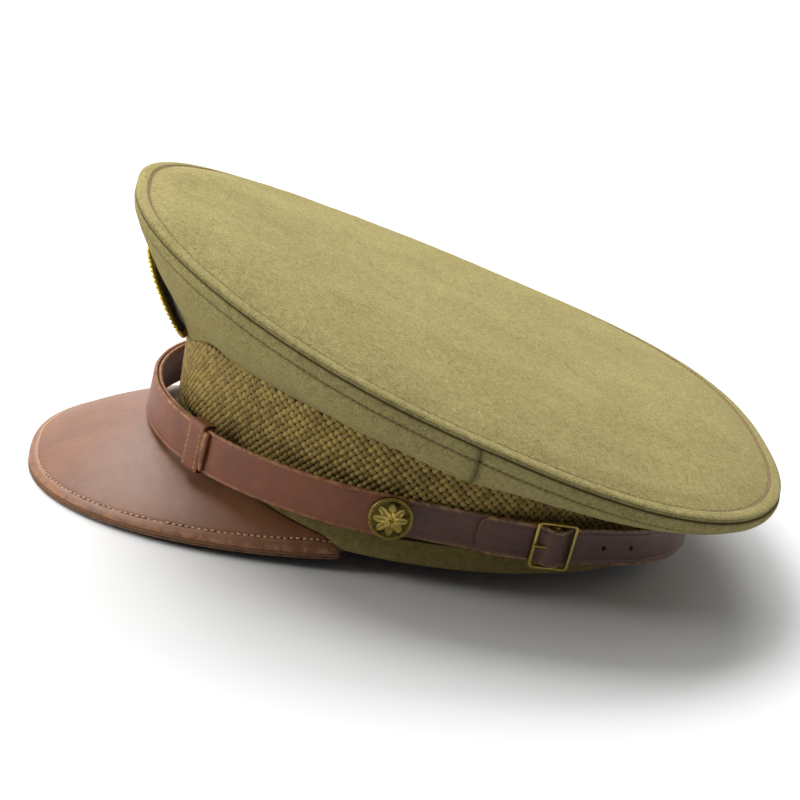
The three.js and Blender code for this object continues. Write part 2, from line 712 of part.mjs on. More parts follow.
// Long part: from the right button round the back, over the buckle's middle bar, under its
// front bar, and on over the short part to its tip.
function napeLongSolid() {
  const under = BUCKLE_LIFT - BUCKLE_WIRE / 2 - GAP - NAPE.thickness / 2;
  const bars = BUCKLE_LENGTH / 2 - BUCKLE_WIRE / 2; // from the middle bar to the outer ones
  const arch = BUCKLE_WIRE / 2 + 2 * GAP + 1.5 * NAPE.thickness;
  const tail = [
    { length: TAIL_END, lift: under, halfWidth: 3.4 },
    { length: TAIL_END + 1.2, lift: under, halfWidth: 5.6 },
    { length: TAIL_END + 3.5, lift: under },
    { length: BUCKLE_AT - bars - 5, lift: under },
    { length: BUCKLE_AT - bars - 1, lift: under },
    { length: BUCKLE_AT - bars + 1.3, lift: under },
    ...range(150, 30, 6).map((turn) => ({
      length: BUCKLE_AT + arch * Math.cos(radians(turn)),
      lift: BUCKLE_LIFT + arch * Math.sin(radians(turn)),
    })),
    { length: BUCKLE_AT + bars - 1.3, lift: under },
    { length: BUCKLE_AT + bars + 1, lift: under },
    { length: BUCKLE_AT + bars + 5, lift: under / 2 },
  ];
  const run = range(BUCKLE_AT + 16, NAPE_LINE.total, 34).map((length) => ({ length, lift: 0 }));
  const tab = tabStations(NAPE_LINE.total, 1, NAPE.strapWidth).reverse();
  const strip = strapSolid(
    NAPE_LINE,
    [...tail, ...run, ...tab],
    NAPE.strapWidth,
    NAPE.thickness,
  );
  const hole = (length, radius) => rod(
    onStrap(NAPE_LINE, length, -1, 0),
    onStrap(NAPE_LINE, length, 9, 0),
    radius,
    12,
  );
  return cut(
    strip,
    sideBore(-1),
    hole(BUCKLE_AT - PRONG_HOLE_LEAD, PRONG_HOLE_RADIUS),
    ...TAIL_HOLES.map((length) => hole(length, 0.9)),
  );
}

// Matrix from the buckle's own axes (x along the strap, y up, z outward) to the cap.
function buckleMatrix() {
  const frame = strapFrame(NAPE_LINE, BUCKLE_AT);
  const matrix = new THREE.Matrix4().makeBasis(frame.travel, frame.up, frame.outward);
  matrix.setPosition(onStrap(NAPE_LINE, BUCKLE_AT, BUCKLE_LIFT, 0));
  if (matrix.determinant() < 0) {
    matrix.makeBasis(frame.travel, frame.up.clone().negate(), frame.outward);
    matrix.setPosition(onStrap(NAPE_LINE, BUCKLE_AT, BUCKLE_LIFT, 0));
  }
  return matrix;
}

function buckleBox(length, depth, height, lead) {
  const box = new THREE.BoxGeometry(length, height, depth);
  box.translate(-lead, 0, 0);
  return box.applyMatrix4(buckleMatrix());
}

function roundedRectangle(ShapeType, halfLength, halfHeight, radius) {
  const shape = new ShapeType();
  shape.moveTo(-halfLength + radius, -halfHeight);
  shape.lineTo(halfLength - radius, -halfHeight);
  shape.quadraticCurveTo(halfLength, -halfHeight, halfLength, -halfHeight + radius);
  shape.lineTo(halfLength, halfHeight - radius);
  shape.quadraticCurveTo(halfLength, halfHeight, halfLength - radius, halfHeight);
  shape.lineTo(-halfLength + radius, halfHeight);
  shape.quadraticCurveTo(-halfLength, halfHeight, -halfLength, halfHeight - radius);
  shape.lineTo(-halfLength, -halfHeight + radius);
  shape.quadraticCurveTo(-halfLength, -halfHeight, -halfLength + radius, -halfHeight);
  return shape;
}

function buckleFrameSolid() {
  const halfLength = BUCKLE_LENGTH / 2;
  const halfHeight = BUCKLE_HEIGHT / 2;
  const bevel = 0.35;
  const outline = roundedRectangle(THREE.Shape, halfLength - bevel, halfHeight - bevel, 1.4);
  outline.holes.push(roundedRectangle(
    THREE.Path,
    halfLength - BUCKLE_WIRE + bevel,
    halfHeight - BUCKLE_WIRE + bevel,
    0.7,
  ));
  const frame = new THREE.ExtrudeGeometry(outline, {
    depth: BUCKLE_WIRE - 2 * bevel,
    bevelSize: bevel,
    bevelThickness: bevel,
    bevelSegments: 2,
    curveSegments: 4,
  });
  frame.translate(0, 0, bevel - BUCKLE_WIRE / 2);
  const reach = halfHeight - BUCKLE_WIRE / 2;
  const bar = rod(vec(0, -reach, 0), vec(0, reach, 0), BUCKLE_WIRE / 2 - 0.02, 12);
  return join(frame, bar).applyMatrix4(buckleMatrix());
}

// An eye round the middle bar and an arm that reaches over the frame's front bar.
function buckleProngSolid() {
  const eyeInner = BUCKLE_WIRE / 2 + 0.25;
  const eyeOuter = eyeInner + 0.6;
  const tip = -BUCKLE_LENGTH / 2 + 0.2;
  const seat = BUCKLE_WIRE / 2 + GAP;
  const arm = new THREE.Shape();
  arm.moveTo(0, seat - 0.1);
  arm.lineTo(tip, seat);
  arm.lineTo(tip - 0.3, seat + 0.35);
  arm.lineTo(tip + 0.3, seat + 0.8);
  arm.lineTo(0, eyeOuter - 0.05);
  const eye = new THREE.Shape();
  eye.absarc(0, 0, eyeOuter, 0, 2 * Math.PI);
  eye.holes.push(new THREE.Path().absarc(0, 0, eyeInner, 0, 2 * Math.PI, true));
  const flat = { depth: PRONG_WIDTH, bevelEnabled: false, curveSegments: 12 };
  const armBlank = cut(
    new THREE.ExtrudeGeometry(arm, flat),
    rod(vec(0, 0, -1), vec(0, 0, PRONG_WIDTH + 1), eyeInner + 0.2),
  );
  const prong = join(new THREE.ExtrudeGeometry(eye, flat), armBlank);
  prong.translate(0, 0, -PRONG_WIDTH / 2);
  prong.rotateX(Math.PI / 2);
  prong.applyMatrix4(buckleMatrix());
  return prong;
}

function addNapeStrap() {
  addPiece('rear_strap_short', napeShortSolid(), FINISHES.napeLeather);
  addPiece('rear_strap_long', napeLongSolid(), FINISHES.napeLeather);
  addPiece('buckle_frame', buckleFrameSolid(), FINISHES.brass);
  addPiece('buckle_prong', buckleProngSolid(), FINISHES.brass);
}

// ---------- Side buttons ----------

// A lathe profile of [radius, height] turned about the cap's left-right axis through the pivot.
function turnedOnPivot(profile, hand, segments = 32) {
  const geometry = new THREE.LatheGeometry(
    profile.map(([radius, height]) => new THREE.Vector2(radius, height)),
    segments,
  );
  geometry.rotateZ(-hand * Math.PI / 2);
  geometry.translate(0, PIVOT.y, PIVOT.z);
  return geometry;
}

function addButton(hand, side) {
  const back = BUTTON_FACE_X;
  const front = back + BUTTON_DEPTH;
  const rim = BUTTON_RADIUS;
  const shell = [
    [0, POST_END_X],
    [POST_RADIUS, POST_END_X],
    [POST_RADIUS, back],
    [rim - 0.8, back],
    [rim, back + 0.6],
    [rim, back + 1.3],
    [rim - 0.5, back + 1.9],
    [rim - 1.2, back + 1.7],
    [rim - 3.2, front - 0.5],
    [rim - 5.6, front - 0.1],
    [0, front],
  ];
  addPiece(`side_button_${side}`, turnedOnPivot(shell, hand), FINISHES.brass);
  const flatRing = ({ from, to, radius }) => turnedOnPivot([
    [BORE_RADIUS, from],
    [radius, from],
    [radius, to],
    [BORE_RADIUS, to],
    [BORE_RADIUS, from],
  ], hand, 24);
  addPiece(`button_washer_${side}`, flatRing(WASHER), FINISHES.brass);
  addPiece(`button_nut_${side}`, flatRing(NUT), FINISHES.steel);
}

// ---------- Badge ----------

// A point in the badge's own axes: x to the wearer's left, y up its face, z out of its face.
function badgeMatrix() {
  const lean = radians(BADGE.lean);
  const matrix = new THREE.Matrix4().makeBasis(
    vec(1, 0, 0),
    vec(0, -Math.sin(lean), Math.cos(lean)),
    vec(0, -Math.cos(lean), -Math.sin(lean)),
  );
  return matrix.setPosition(0, BADGE.y, BADGE.z);
}

function badgePoint(x, y, z) {
  return vec(x, y, z).applyMatrix4(badgeMatrix());
}

// A wreath of plain leaves round a domed oval shield; the design stands for no service.
function badgeSolid() {
  const plate = new THREE.SphereGeometry(1, 20, 10);
  plate.scale(BADGE_HALF_WIDTH * 0.5, BADGE_HALF_HEIGHT * 0.62, 2.4);
  const keepFront = new THREE.BoxGeometry(80, 80, 10);
  keepFront.translate(0, 0, -5);
  let solid = cut(plate, keepFront);
  for (let i = 0; i < LEAF_COUNT; i += 1) {
    const turn = (i / LEAF_COUNT) * 2 * Math.PI;
    const leaf = new THREE.SphereGeometry(1, 8, 4);
    leaf.scale(4.6, 2.1, 1.1);
    leaf.rotateZ(turn + Math.PI / 2 + 0.45);
    leaf.translate(
      (BADGE_HALF_WIDTH - 3.6) * Math.cos(turn),
      (BADGE_HALF_HEIGHT - 3.6) * Math.sin(turn),
      BADGE_THICKNESS / 2,
    );
    solid = join(solid, leaf);
  }
  const backing = new THREE.CylinderGeometry(1, 1, BADGE_THICKNESS / 2, 48);
  backing.rotateX(Math.PI / 2);
  backing.scale(BADGE_HALF_WIDTH - 3.4, BADGE_HALF_HEIGHT - 3.4, 1);
  backing.translate(0, 0, BADGE_THICKNESS / 4);
  return join(solid, backing).applyMatrix4(badgeMatrix());
}

function addBadge() {
  addPiece('cap_badge', badgeSolid(), FINISHES.gilt);
  addPiece(
    'badge_post',
    rod(badgePoint(0, 0, -GAP), badgePoint(0, 0, -BADGE_POST_LENGTH), POST_RADIUS),
    FINISHES.brass,
  );
  const { from, to, radius } = BADGE_NUT;
  const nut = rod(badgePoint(0, 0, -from), badgePoint(0, 0, -to), radius, 24);
  const bore = rod(badgePoint(0, 0, 0), badgePoint(0, 0, -20), BORE_RADIUS);
  addPiece('badge_nut', cut(nut, bore), FINISHES.brass);
}

// ---------- Assembly ----------

addBand();
addCrown();
addVisor();
addChinStrap();
addNapeStrap();
addButton(1, 'left');
addButton(-1, 'right');
addBadge();

export default root;
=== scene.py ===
"""Looks of an officer's peaked cap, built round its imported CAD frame.

Shapes are worked out in millimetres and turned into metres when a mesh is made.  The visor points
along -Y, the wearer's left is +X and +Z is up, as in the frame.
"""

import json
import math

import bmesh
import bpy
import numpy as np
from mathutils import Matrix, Vector


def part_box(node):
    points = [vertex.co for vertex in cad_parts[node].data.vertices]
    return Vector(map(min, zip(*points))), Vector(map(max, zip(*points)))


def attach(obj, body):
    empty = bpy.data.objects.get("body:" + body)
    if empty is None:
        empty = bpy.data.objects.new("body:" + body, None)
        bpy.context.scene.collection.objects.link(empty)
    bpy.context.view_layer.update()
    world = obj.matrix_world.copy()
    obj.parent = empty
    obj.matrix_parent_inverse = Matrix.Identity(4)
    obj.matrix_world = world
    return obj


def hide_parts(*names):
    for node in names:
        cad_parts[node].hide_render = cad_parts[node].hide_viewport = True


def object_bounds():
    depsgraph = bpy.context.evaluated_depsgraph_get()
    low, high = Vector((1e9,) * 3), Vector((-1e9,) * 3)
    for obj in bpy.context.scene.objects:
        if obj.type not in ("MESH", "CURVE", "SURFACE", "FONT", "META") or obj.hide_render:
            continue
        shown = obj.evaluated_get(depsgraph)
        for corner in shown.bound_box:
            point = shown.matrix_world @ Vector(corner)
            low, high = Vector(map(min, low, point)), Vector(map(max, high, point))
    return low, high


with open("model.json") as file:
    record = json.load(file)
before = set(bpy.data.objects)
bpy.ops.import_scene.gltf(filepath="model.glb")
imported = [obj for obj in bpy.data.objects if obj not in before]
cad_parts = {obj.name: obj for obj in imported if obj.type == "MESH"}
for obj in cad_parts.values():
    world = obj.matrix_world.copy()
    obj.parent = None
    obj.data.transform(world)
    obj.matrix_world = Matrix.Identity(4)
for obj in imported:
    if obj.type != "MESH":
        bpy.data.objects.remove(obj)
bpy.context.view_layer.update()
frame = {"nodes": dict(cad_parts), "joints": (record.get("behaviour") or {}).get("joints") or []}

MM = 0.001
RANDOM = np.random.default_rng(7)
LEVEL = np.array([1, 1, 0])  # keeps a point's place in plan and drops its height
UPWARD = np.array([0, 0, 1])


# ---------- Sizes, from the frame where it has them ----------


def low(node, axis):
    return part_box(node)[0][axis] / MM


def high(node, axis):
    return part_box(node)[1][axis] / MM


def joint_point(name):
    joint = next(j for j in frame["joints"] if j["name"] == name)
    return np.array(joint["pos_m"]) / MM


BAND_HALF_WIDTH = high("braid_band", 0)
BAND_HALF_LENGTH = high("braid_band", 1)
BAND_HEIGHT = 42
BAND_FRONT_RISE = 19
BAND_FRONT_DIP = 9
BAND_BACK_DROP = 7
WELT_HEIGHT = 9.5
WELT_PROUD = high("bottom_welt", 0) - BAND_HALF_WIDTH
WELT_INSET = 1.3
SWEATBAND_INSET = BAND_HALF_WIDTH - high("sweatband", 0)
SWEATBAND_HEIGHT = 38
SWEATBAND_LEAN = 3
SWEATBAND_THICKNESS = 1.1

KNOTS_ROUND = 180
KNOT_ROW = 1.66
KNOT_LENGTH = 3.7
KNOT_WIDTH = 2.4
KNOT_SLOPE = 42  # degrees
KNOT_SCATTER = 0.05  # radians of lean and mm in and out
BRAID_BACKING = (0.55, 1.4)  # insets of the ground under the knots

VISOR_END_ANGLE = 70
VISOR_TIP_Y = low("visor_top", 1)
VISOR_STACK = 3.2
VISOR_ROOT_RISE = 15.2
VISOR_DROP = 5.2
VISOR_FLARE = 5.7
VISOR_SQUARENESS = 0.83
VISOR_BULGE = 3
VISOR_TOP = (0, 0.95)  # depth and thickness of each layer
VISOR_CORE = (1.2, 0.95)
VISOR_LINING = (2.4, 0.75)
VISOR_BORDER = 3.0  # from the outer edge to the line of stitching
VISOR_STITCH_PITCH = 2.5

CROWN_HALF_WIDTH = 123
CROWN_CENTRE_Y = (low("crown_top", 1) + high("crown_top", 1)) / 2
CROWN_HALF_LENGTH = high("crown_top", 1) - CROWN_CENTRE_Y
CROWN_EGG = 0.143
CROWN_SQUARENESS = 0.835
CROWN_MEAN_HEIGHT = 68.8
CROWN_TILT = 36.1
CROWN_SADDLE = 4
CROWN_DOME = 5.2
CROWN_DOME_FRONT = 2.5
CROWN_DOME_POWER = 3.4
CLOTH = 1.6
CLOTH_STITCH_PITCH = 2.6
BELLY_DROP = 25.5
BELLY_DROP_SWING = 13
PANEL_STEP = 1.05  # between a side panel's rows, which are half a degree apart
LINING_REACH = 0.64
LINING_REACH_SWING = 0.06
LINING_CLOTH = 0.7
LINING_DROP = 4.5  # below the top panel
LINING_GAP = 3.3  # inward from the braid's outer face
LINING_SHOULDER = 5.5  # above the band's top
LINING_TUCK = 5  # below the band's top

# Distances from the rim seam at which the cloth is shaped, and that of its top-stitching.
SEAM_SAMPLES = np.array([0, 0.2, 0.45, 0.8, 1.2, 1.8, 2.6, 3.4, 4.0, 4.4, 4.7, 5.0, 5.3, 5.6, 6.0, 6.6, 7.5])
SEAM_ALLOWANCE = 5.0
STITCH_COLUMN = list(SEAM_SAMPLES).index(SEAM_ALLOWANCE)

PIVOT = joint_point("chin_strap_swing")
BUTTON_FACE_X = 89.5
BUTTON_RADIUS = (high("side_button_left", 2) - low("side_button_left", 2)) / 2
BUTTON_EDGE = 1.5
SHANK_RADIUS = 1.3
SHANK_END_X = 76.9

CHIN_WIDTH = 17
CHIN_THICKNESS = 1.5
CHIN_CREASE = 1.7  # from the strap's edge to its pressed line
NAPE_WIDTH = 15
NAPE_THICKNESS = 1.2
NAPE_CREASE = 2.4
STRAP_TAB = 6.5  # past the button, to the strap's end
LAYER_OFFSET = 0.9  # of each half of the chin strap from their middle line
KEEPER_FROM_FRONT = 59  # length along the chin strap from its front centre
KEEPER_LENGTH = 9
KEEPER_WALL = 1.1
KEEPER_GAP = 0.5  # round the strap inside the keeper
KEEPER_SEAM = 0.68  # share of the keeper's half length

BUCKLE_AT = 62.5
BUCKLE_LENGTH = 16.8
BUCKLE_HEIGHT = 19.4
BUCKLE_WIRE = 1.5
BUCKLE_LIFT = 3.15
BUCKLE_GAP = 0.3  # between the strap and the wire
TAIL_END = 33
TAIL_TIP = 2.6  # half width of the tail's blunt tip
TAIL_HOLES = (85, 98)
TAIL_HOLE_RADIUS = 0.95

BADGE_CENTRE = joint_point("badge_nut_turn")
BADGE_LEAN = 30
BADGE_HALF_HEIGHT = 20
BADGE_HALF_WIDTH = 21
BADGE_MARGIN = 3.4  # from the badge's edge to its plate and outer leaves


# ---------- Numbers and grids ----------


def smoothstep(value, start, end):
    share = np.clip((value - start) / (end - start), 0, 1)
    return share * share * (3 - 2 * share)


def signed_power(value, power):
    return np.sign(value) * np.abs(value) ** power


def ridge(value, centre, width):
    return np.exp(-(((value - centre) / width) ** 2))


def circle(count):
    return np.linspace(0, 2 * math.pi, count, endpoint=False)


def coords(*values):
    """Points from their coordinates, each given for every point or for a row of them."""
    return np.stack(np.broadcast_arrays(*values), axis=-1)


def unit(vector):
    return vector / np.maximum(np.linalg.norm(vector, axis=-1, keepdims=True), 1e-9)


def ring_step(points):
    """From the point before to the point after, for each point of a closed ring."""
    return np.roll(points, -1, axis=0) - np.roll(points, 1, axis=0)


def path_lengths(path):
    steps = np.linalg.norm(np.diff(path, axis=0), axis=1)
    return np.concatenate([[0], np.cumsum(steps)])


def on_path(path, lengths, at):
    """Values at given lengths along a path of points."""
    return np.stack([np.interp(at, lengths, path[:, k]) for k in range(3)], axis=-1)


def soft_waves(points, wavelength, seed, count=7):
    """Smooth random height over points, about -1 to 1, with features of one wavelength."""
    chance = np.random.default_rng(seed)
    total = np.zeros(points.shape[:-1])
    for _ in range(count):
        direction = chance.normal(size=3)
        direction /= np.linalg.norm(direction)
        length = wavelength * chance.uniform(0.7, 1.5)
        phase = chance.uniform(0, 2 * math.pi)
        total += np.sin(points @ direction * 2 * math.pi / length + phase)
    return total / math.sqrt(count) / 1.4


def grid_normals(points, wrap):
    """Unit normals of a grid of points whose rows join end to end when wrap is set."""
    along = ring_step(points) if wrap else np.gradient(points, axis=0)
    return unit(np.cross(along, np.gradient(points, axis=1)))


def grid_faces(rows, columns, wrap_rows, wrap_columns):
    row = np.arange(rows if wrap_rows else rows - 1)[:, None]
    column = np.arange(columns if wrap_columns else columns - 1)[None, :]
    next_row = (row + 1) % rows
    next_column = (column + 1) % columns
    corners = [
        row * columns + column,
        next_row * columns + column,
        next_row * columns + next_column,
        row * columns + next_column,
    ]
    return np.stack(corners, axis=-1).reshape(-1, 4).tolist()


def small_shape(points, wrap=True):
    """A grid of points and its faces, as scatter takes them."""
    return points.reshape(-1, 3), grid_faces(*points.shape[:2], False, wrap)


# ---------- Pieces ----------


def new_piece(name, points, faces, material, body="cap", stands_for=(), slot=None, **shades):
    """A smooth-shaded mesh piece from millimetre points, riding on a CAD body.

    Each shade is an attribute that the material reads, given for all the points.
    """
    points = np.asarray(points)
    mesh = bpy.data.meshes.new(name)
    mesh.from_pydata((points.reshape(-1, 3) * MM).tolist(), [], faces)
    for label, values in shades.items():
        attribute = mesh.attributes.new(label, "FLOAT", "POINT")
        values = np.broadcast_to(values, points.shape[:-1])
        attribute.data.foreach_set("value", np.asarray(values, np.float32).ravel())
    shape = bmesh.new()
    shape.from_mesh(mesh)
    bmesh.ops.remove_doubles(shape, verts=shape.verts, dist=0.002 * MM)
    bmesh.ops.recalc_face_normals(shape, faces=shape.faces)
    shape.to_mesh(mesh)
    shape.free()
    mesh.polygons.foreach_set("use_smooth", [True] * len(mesh.polygons))
    mesh.materials.append(material)
    piece = bpy.data.objects.new(name, mesh)
    bpy.context.scene.collection.objects.link(piece)
    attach(piece, body)
    if stands_for:
        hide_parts(*stands_for)
    return piece


def loft(name, loops, material, closed=False, capped=True, **options):
    """A tube through closed loops of points, joined end to end or capped at both ends."""
    rows, columns = loops.shape[:2]
    faces = grid_faces(rows, columns, closed, True)
    if capped and not closed:
        faces.append(list(range(columns))[::-1])
        faces.append(list(range((rows - 1) * columns, rows * columns)))
    return new_piece(name, loops, faces, material, **options)


def scatter(name, template, template_faces, centres, axes, material, **options):
    """Copies of one small shape, each turned by its own three axes, as one mesh."""
    points = centres[:, None, :] + np.einsum("ij,njk->nik", template, axes)
    count = len(template)
    faces = np.asarray(template_faces)[None] + (np.arange(len(centres)) * count)[:, None, None]
    return new_piece(name, points, faces.reshape(-1, 4).tolist(), material, **options)


def even_spots(path, pitch, normals):
    """Points, directions and normals at even steps along a path of points."""
    lengths = path_lengths(path)
    count = max(2, int(round(lengths[-1] / pitch)))
    at = (np.arange(count) + 0.5) * lengths[-1] / count
    travel = on_path(path, lengths, at + 0.4) - on_path(path, lengths, at - 0.4)
    return on_path(path, lengths, at), unit(travel), unit(on_path(normals, lengths, at))


def thread_template(length, radius):
    """A short arched thread with sunk ends, lying along x with z outward."""
    along = np.linspace(-1, 1, 7)[:, None]
    turn = circle(6)
    taper = radius * np.sqrt(np.clip(1.06 - along**2, 0, 1))
    arch = radius * 0.9 * (1 - along**2)
    height = taper * np.sin(turn) + arch - radius * 0.5
    return small_shape(coords(along * length / 2, taper * np.cos(turn), height))


def stitch_row(name, path, normals, pitch, material, radius, slant=0.0, body="cap"):
    """A row of thread stitches lying on a path, each a little off its neighbours' line."""
    spots, travel, outward = even_spots(path, pitch, normals)
    side = unit(np.cross(outward, travel))
    lean = slant + RANDOM.normal(0, 0.05, size=(len(spots), 1))
    travel = unit(travel + side * lean)
    side = np.cross(outward, travel)
    spots = spots + side * RANDOM.normal(0, radius * 0.25, size=(len(spots), 1))
    axes = np.stack([travel, side, outward], axis=1)
    scatter(name, *thread_template(pitch * 0.74, radius), spots, axes, material, body=body)


def needle_holes(name, path, normals, pitch, radius, material):
    """Small sunk holes between the stitches of a row."""
    spots, travel, outward = even_spots(path, pitch, normals)
    spots = spots + travel * pitch / 2
    turn = circle(8)
    reach = radius * np.array([0.05, 0.6, 1.0, 1.15])[:, None]
    height = np.array([-0.1, 0.0, 0.05, 0.0])[:, None]
    axes = np.stack([travel, np.cross(outward, travel), outward], axis=1)
    hole = small_shape(coords(reach * np.cos(turn), reach * np.sin(turn), height))
    scatter(name, *hole, spots, axes, material)


# ---------- Materials ----------


class Shader:
    """A material's node tree, with short calls for the nodes used here."""

    def __init__(self, name):
        self.material = bpy.data.materials.new(name)
        self.material.use_nodes = True
        self.tree = self.material.node_tree
        self.surface = self.tree.nodes["Principled BSDF"]
        self.place = self.tree.nodes.new("ShaderNodeTexCoord").outputs["Object"]

    def node(self, kind, values, **settings):
        made = self.tree.nodes.new("ShaderNode" + kind)
        for key, value in settings.items():
            setattr(made, key, value)
        for key, value in values.items():
            self.feed(made.inputs[key], value)
        return made

    def feed(self, socket, value):
        if isinstance(value, bpy.types.NodeSocket):
            self.tree.links.new(value, socket)
        else:
            socket.default_value = value

    def stretched(self, scale, turn=(0, 0, 0)):
        values = {"Vector": self.place, "Scale": scale, "Rotation": turn}
        return self.node("Mapping", values).outputs["Vector"]

    def noise(self, scale, detail=3.0, roughness=0.5, distortion=0.0, place=None):
        values = {
            "Vector": place or self.place,
            "Scale": scale,
            "Detail": detail,
            "Roughness": roughness,
            "Distortion": distortion,
        }
        return self.node("TexNoise", values).outputs["Fac"]

    def cells(self, scale, place=None):
        values = {"Vector": place or self.place, "Scale": scale}
        return self.node("TexVoronoi", values).outputs["Distance"]

    def attribute(self, name):
        return self.node("Attribute", {}, attribute_name=name).outputs["Fac"]

    def maths(self, operation, first, second=0.0):
        return self.node("Math", {0: first, 1: second}, operation=operation).outputs[0]

    def weighted(self, *parts):
        """Sum of values, each times its own weight."""
        scaled = [self.maths("MULTIPLY", value, weight) for value, weight in parts]
        total = scaled[0]
        for part in scaled[1:]:
            total = self.maths("ADD", total, part)
        return total

    def spread(self, value, start, end, low_value=0.0, high_value=1.0):
        values = {0: value, 1: start, 2: end, 3: low_value, 4: high_value}
        return self.node("MapRange", values).outputs[0]

    def blend(self, share, first, second):
        values = {0: share, 6: first, 7: second}
        return self.node("Mix", values, data_type="RGBA").outputs[2]

    def relief(self, height, distance, strength=1.0, under=None):
        values = {"Height": height, "Distance": distance * MM, "Strength": strength}
        if under is not None:
            values["Normal"] = under
        return self.node("Bump", values).outputs["Normal"]

    def set(self, **values):
        for key, value in values.items():
            self.feed(self.surface.inputs[key.replace("_", " ")], value)


def colour(red, green, blue):
    """A linear colour from the 0 to 255 numbers of a screen colour."""
    def linear(level):
        share = level / 255
        return share / 12.92 if share <= 0.04045 else ((share + 0.055) / 1.055) ** 2.4

    return (linear(red), linear(green), linear(blue), 1.0)


def felt(name, light, dark, painted_shade_colour):
    """Milled wool: faint patches under a short nap lying in all directions, with painted shade in seams and
    on hidden faces.
    """
    shader = Shader(name)
    patches = shader.noise(26, detail=2)
    clumps = shader.noise(420, roughness=0.6, distortion=0.8)
    nap = shader.noise(1700, roughness=0.75, distortion=1.5)
    tone = shader.weighted((patches, 0.09), (clumps, 0.2), (nap, 0.71))
    wool = shader.blend(shader.spread(tone, 0.4, 0.6), dark, light)
    # Painted shade: the seam attribute darkens the wool in seams, stitched lines and hidden faces.
    wool = shader.blend(shader.attribute("seam"), wool, painted_shade_colour)
    fuzz = shader.relief(nap, 0.45, under=shader.relief(clumps, 0.5, 0.5))
    shader.set(Base_Color=wool, Roughness=0.95, Normal=fuzz, Specular_IOR_Level=0.12)
    shader.set(Sheen_Weight=0.2, Sheen_Roughness=0.45, Sheen_Tint=light)
    return shader.material


def braid_yarn(name, light, dark, gap):
    """Glossy mohair yarn: four plies along each knot, each knot a little different, with painted shade
    between knots.
    """
    shader = Shader(name)
    fibres = shader.noise(2200, detail=2, roughness=0.6)
    drift = shader.noise(45, detail=2)
    turns = shader.maths("ADD", shader.maths("MULTIPLY", shader.attribute("ply"), 11.0), fibres)
    plies = shader.spread(shader.maths("SINE", turns), -1, 1)
    tone = shader.weighted((plies, 0.28), (fibres, 0.22), (drift, 0.2), (shader.attribute("tone"), 0.2))
    yarn = shader.blend(shader.spread(tone, 0.25, 0.65), dark, light)
    # Painted shade: the depth attribute darkens the yarn towards the gap colour between the knots.
    yarn = shader.blend(shader.attribute("depth"), yarn, gap)
    shader.set(Base_Color=yarn, Roughness=0.65, Normal=shader.relief(plies, 0.12, 0.8))
    shader.set(Specular_IOR_Level=0.35, Sheen_Weight=0.15, Sheen_Roughness=0.4, Sheen_Tint=light)
    return shader.material


def leather(name, light, dark, worn, shine, grain, coat, coat_roughness=0.28):
    """Finished leather: fine grain, cloudy colour, rubbed pale where the wear attribute is high."""
    shader = Shader(name)
    clouds = shader.noise(35, detail=5, roughness=0.6, distortion=0.8)
    fine = shader.noise(420, detail=4, roughness=0.7)
    pores = shader.cells(1500)
    creases = shader.cells(650, place=shader.stretched((1, 1, 1.7)))
    scuffs = shader.noise(150, detail=6, roughness=0.75, distortion=1.2)
    tone = shader.weighted((clouds, 0.7), (fine, 0.3))
    hide = shader.blend(shader.spread(tone, 0.35, 0.65), dark, light)
    rubbed = shader.maths("MULTIPLY", shader.attribute("wear"), shader.spread(scuffs, 0.42, 0.58))
    hide = shader.blend(rubbed, hide, worn)
    height = shader.weighted((pores, 0.6), (creases, 0.4))
    normal = shader.relief(height, 0.07, grain, shader.relief(clouds, 0.6, 0.25))
    gloss = shader.spread(shader.maths("ADD", scuffs, rubbed), 0.3, 1.2, shine, shine + 0.28)
    shader.set(Base_Color=hide, Roughness=gloss, Normal=normal, Specular_IOR_Level=0.5)
    shader.set(Coat_Weight=coat, Coat_Roughness=coat_roughness)
    return shader.material


def brass(name, bright, tarnish, roughness=0.28):
    """Brass gone dull in its hollows (patina) and where painted shade is given, with small dents and rubbed
    high spots.
    """
    shader = Shader(name)
    stains = shader.noise(260, detail=5, roughness=0.65, distortion=0.5)
    pits = shader.noise(1900, detail=2)
    # Patina in hollows, and painted shade on the badge plate's back, dull the brass.
    age = shader.maths("ADD", shader.attribute("recess"), shader.spread(stains, 0.5, 0.75, 0.0, 0.5))
    metal = shader.blend(shader.spread(age, 0, 1), bright, tarnish)
    shader.set(Base_Color=metal, Metallic=1.0, Normal=shader.relief(pits, 0.05, 0.3))
    shader.set(Roughness=shader.spread(age, 0, 1, roughness, roughness + 0.3))
    return shader.material


def steel(name, light, dark):
    shader = Shader(name)
    brushed = shader.noise(800, detail=2, place=shader.stretched((1, 1, 6)))
    shader.set(Base_Color=shader.blend(brushed, light, dark), Metallic=1.0)
    shader.set(Roughness=shader.spread(brushed, 0.3, 0.7, 0.3, 0.5))
    return shader.material


def satin(name, light, dark):
    """Lining satin: a fine twill with a soft shine."""
    shader = Shader(name)
    twill = shader.noise(2200, detail=1, place=shader.stretched((1, 0.2, 1), (0, 0, 0.7)))
    clouds = shader.noise(40)
    tone = shader.maths("MULTIPLY", clouds, shader.spread(twill, 0.3, 0.7, 0.6, 1))
    shader.set(Base_Color=shader.blend(tone, dark, light), Roughness=0.42)
    shader.set(Normal=shader.relief(twill, 0.06, 0.5))
    shader.set(Sheen_Weight=0.3, Sheen_Roughness=0.3, Sheen_Tint=light)
    return shader.material


def fibrous(name, light, dark, scale, detail, mix, roughness, depth, strength, stretch=(1, 1, 1)):
    """Dull thread, weave or cut edge: one fine noise for its colour and its relief."""
    shader = Shader(name)
    fibres = shader.noise(scale, detail, mix, place=shader.stretched(stretch))
    shader.set(Base_Color=shader.blend(fibres, dark, light), Roughness=roughness)
    shader.set(Normal=shader.relief(fibres, depth, strength))
    return shader.material


def thread(name, light, dark):
    return fibrous(name, light, dark, 3500, 1, 0.5, 0.75, 0.08, 0.5)
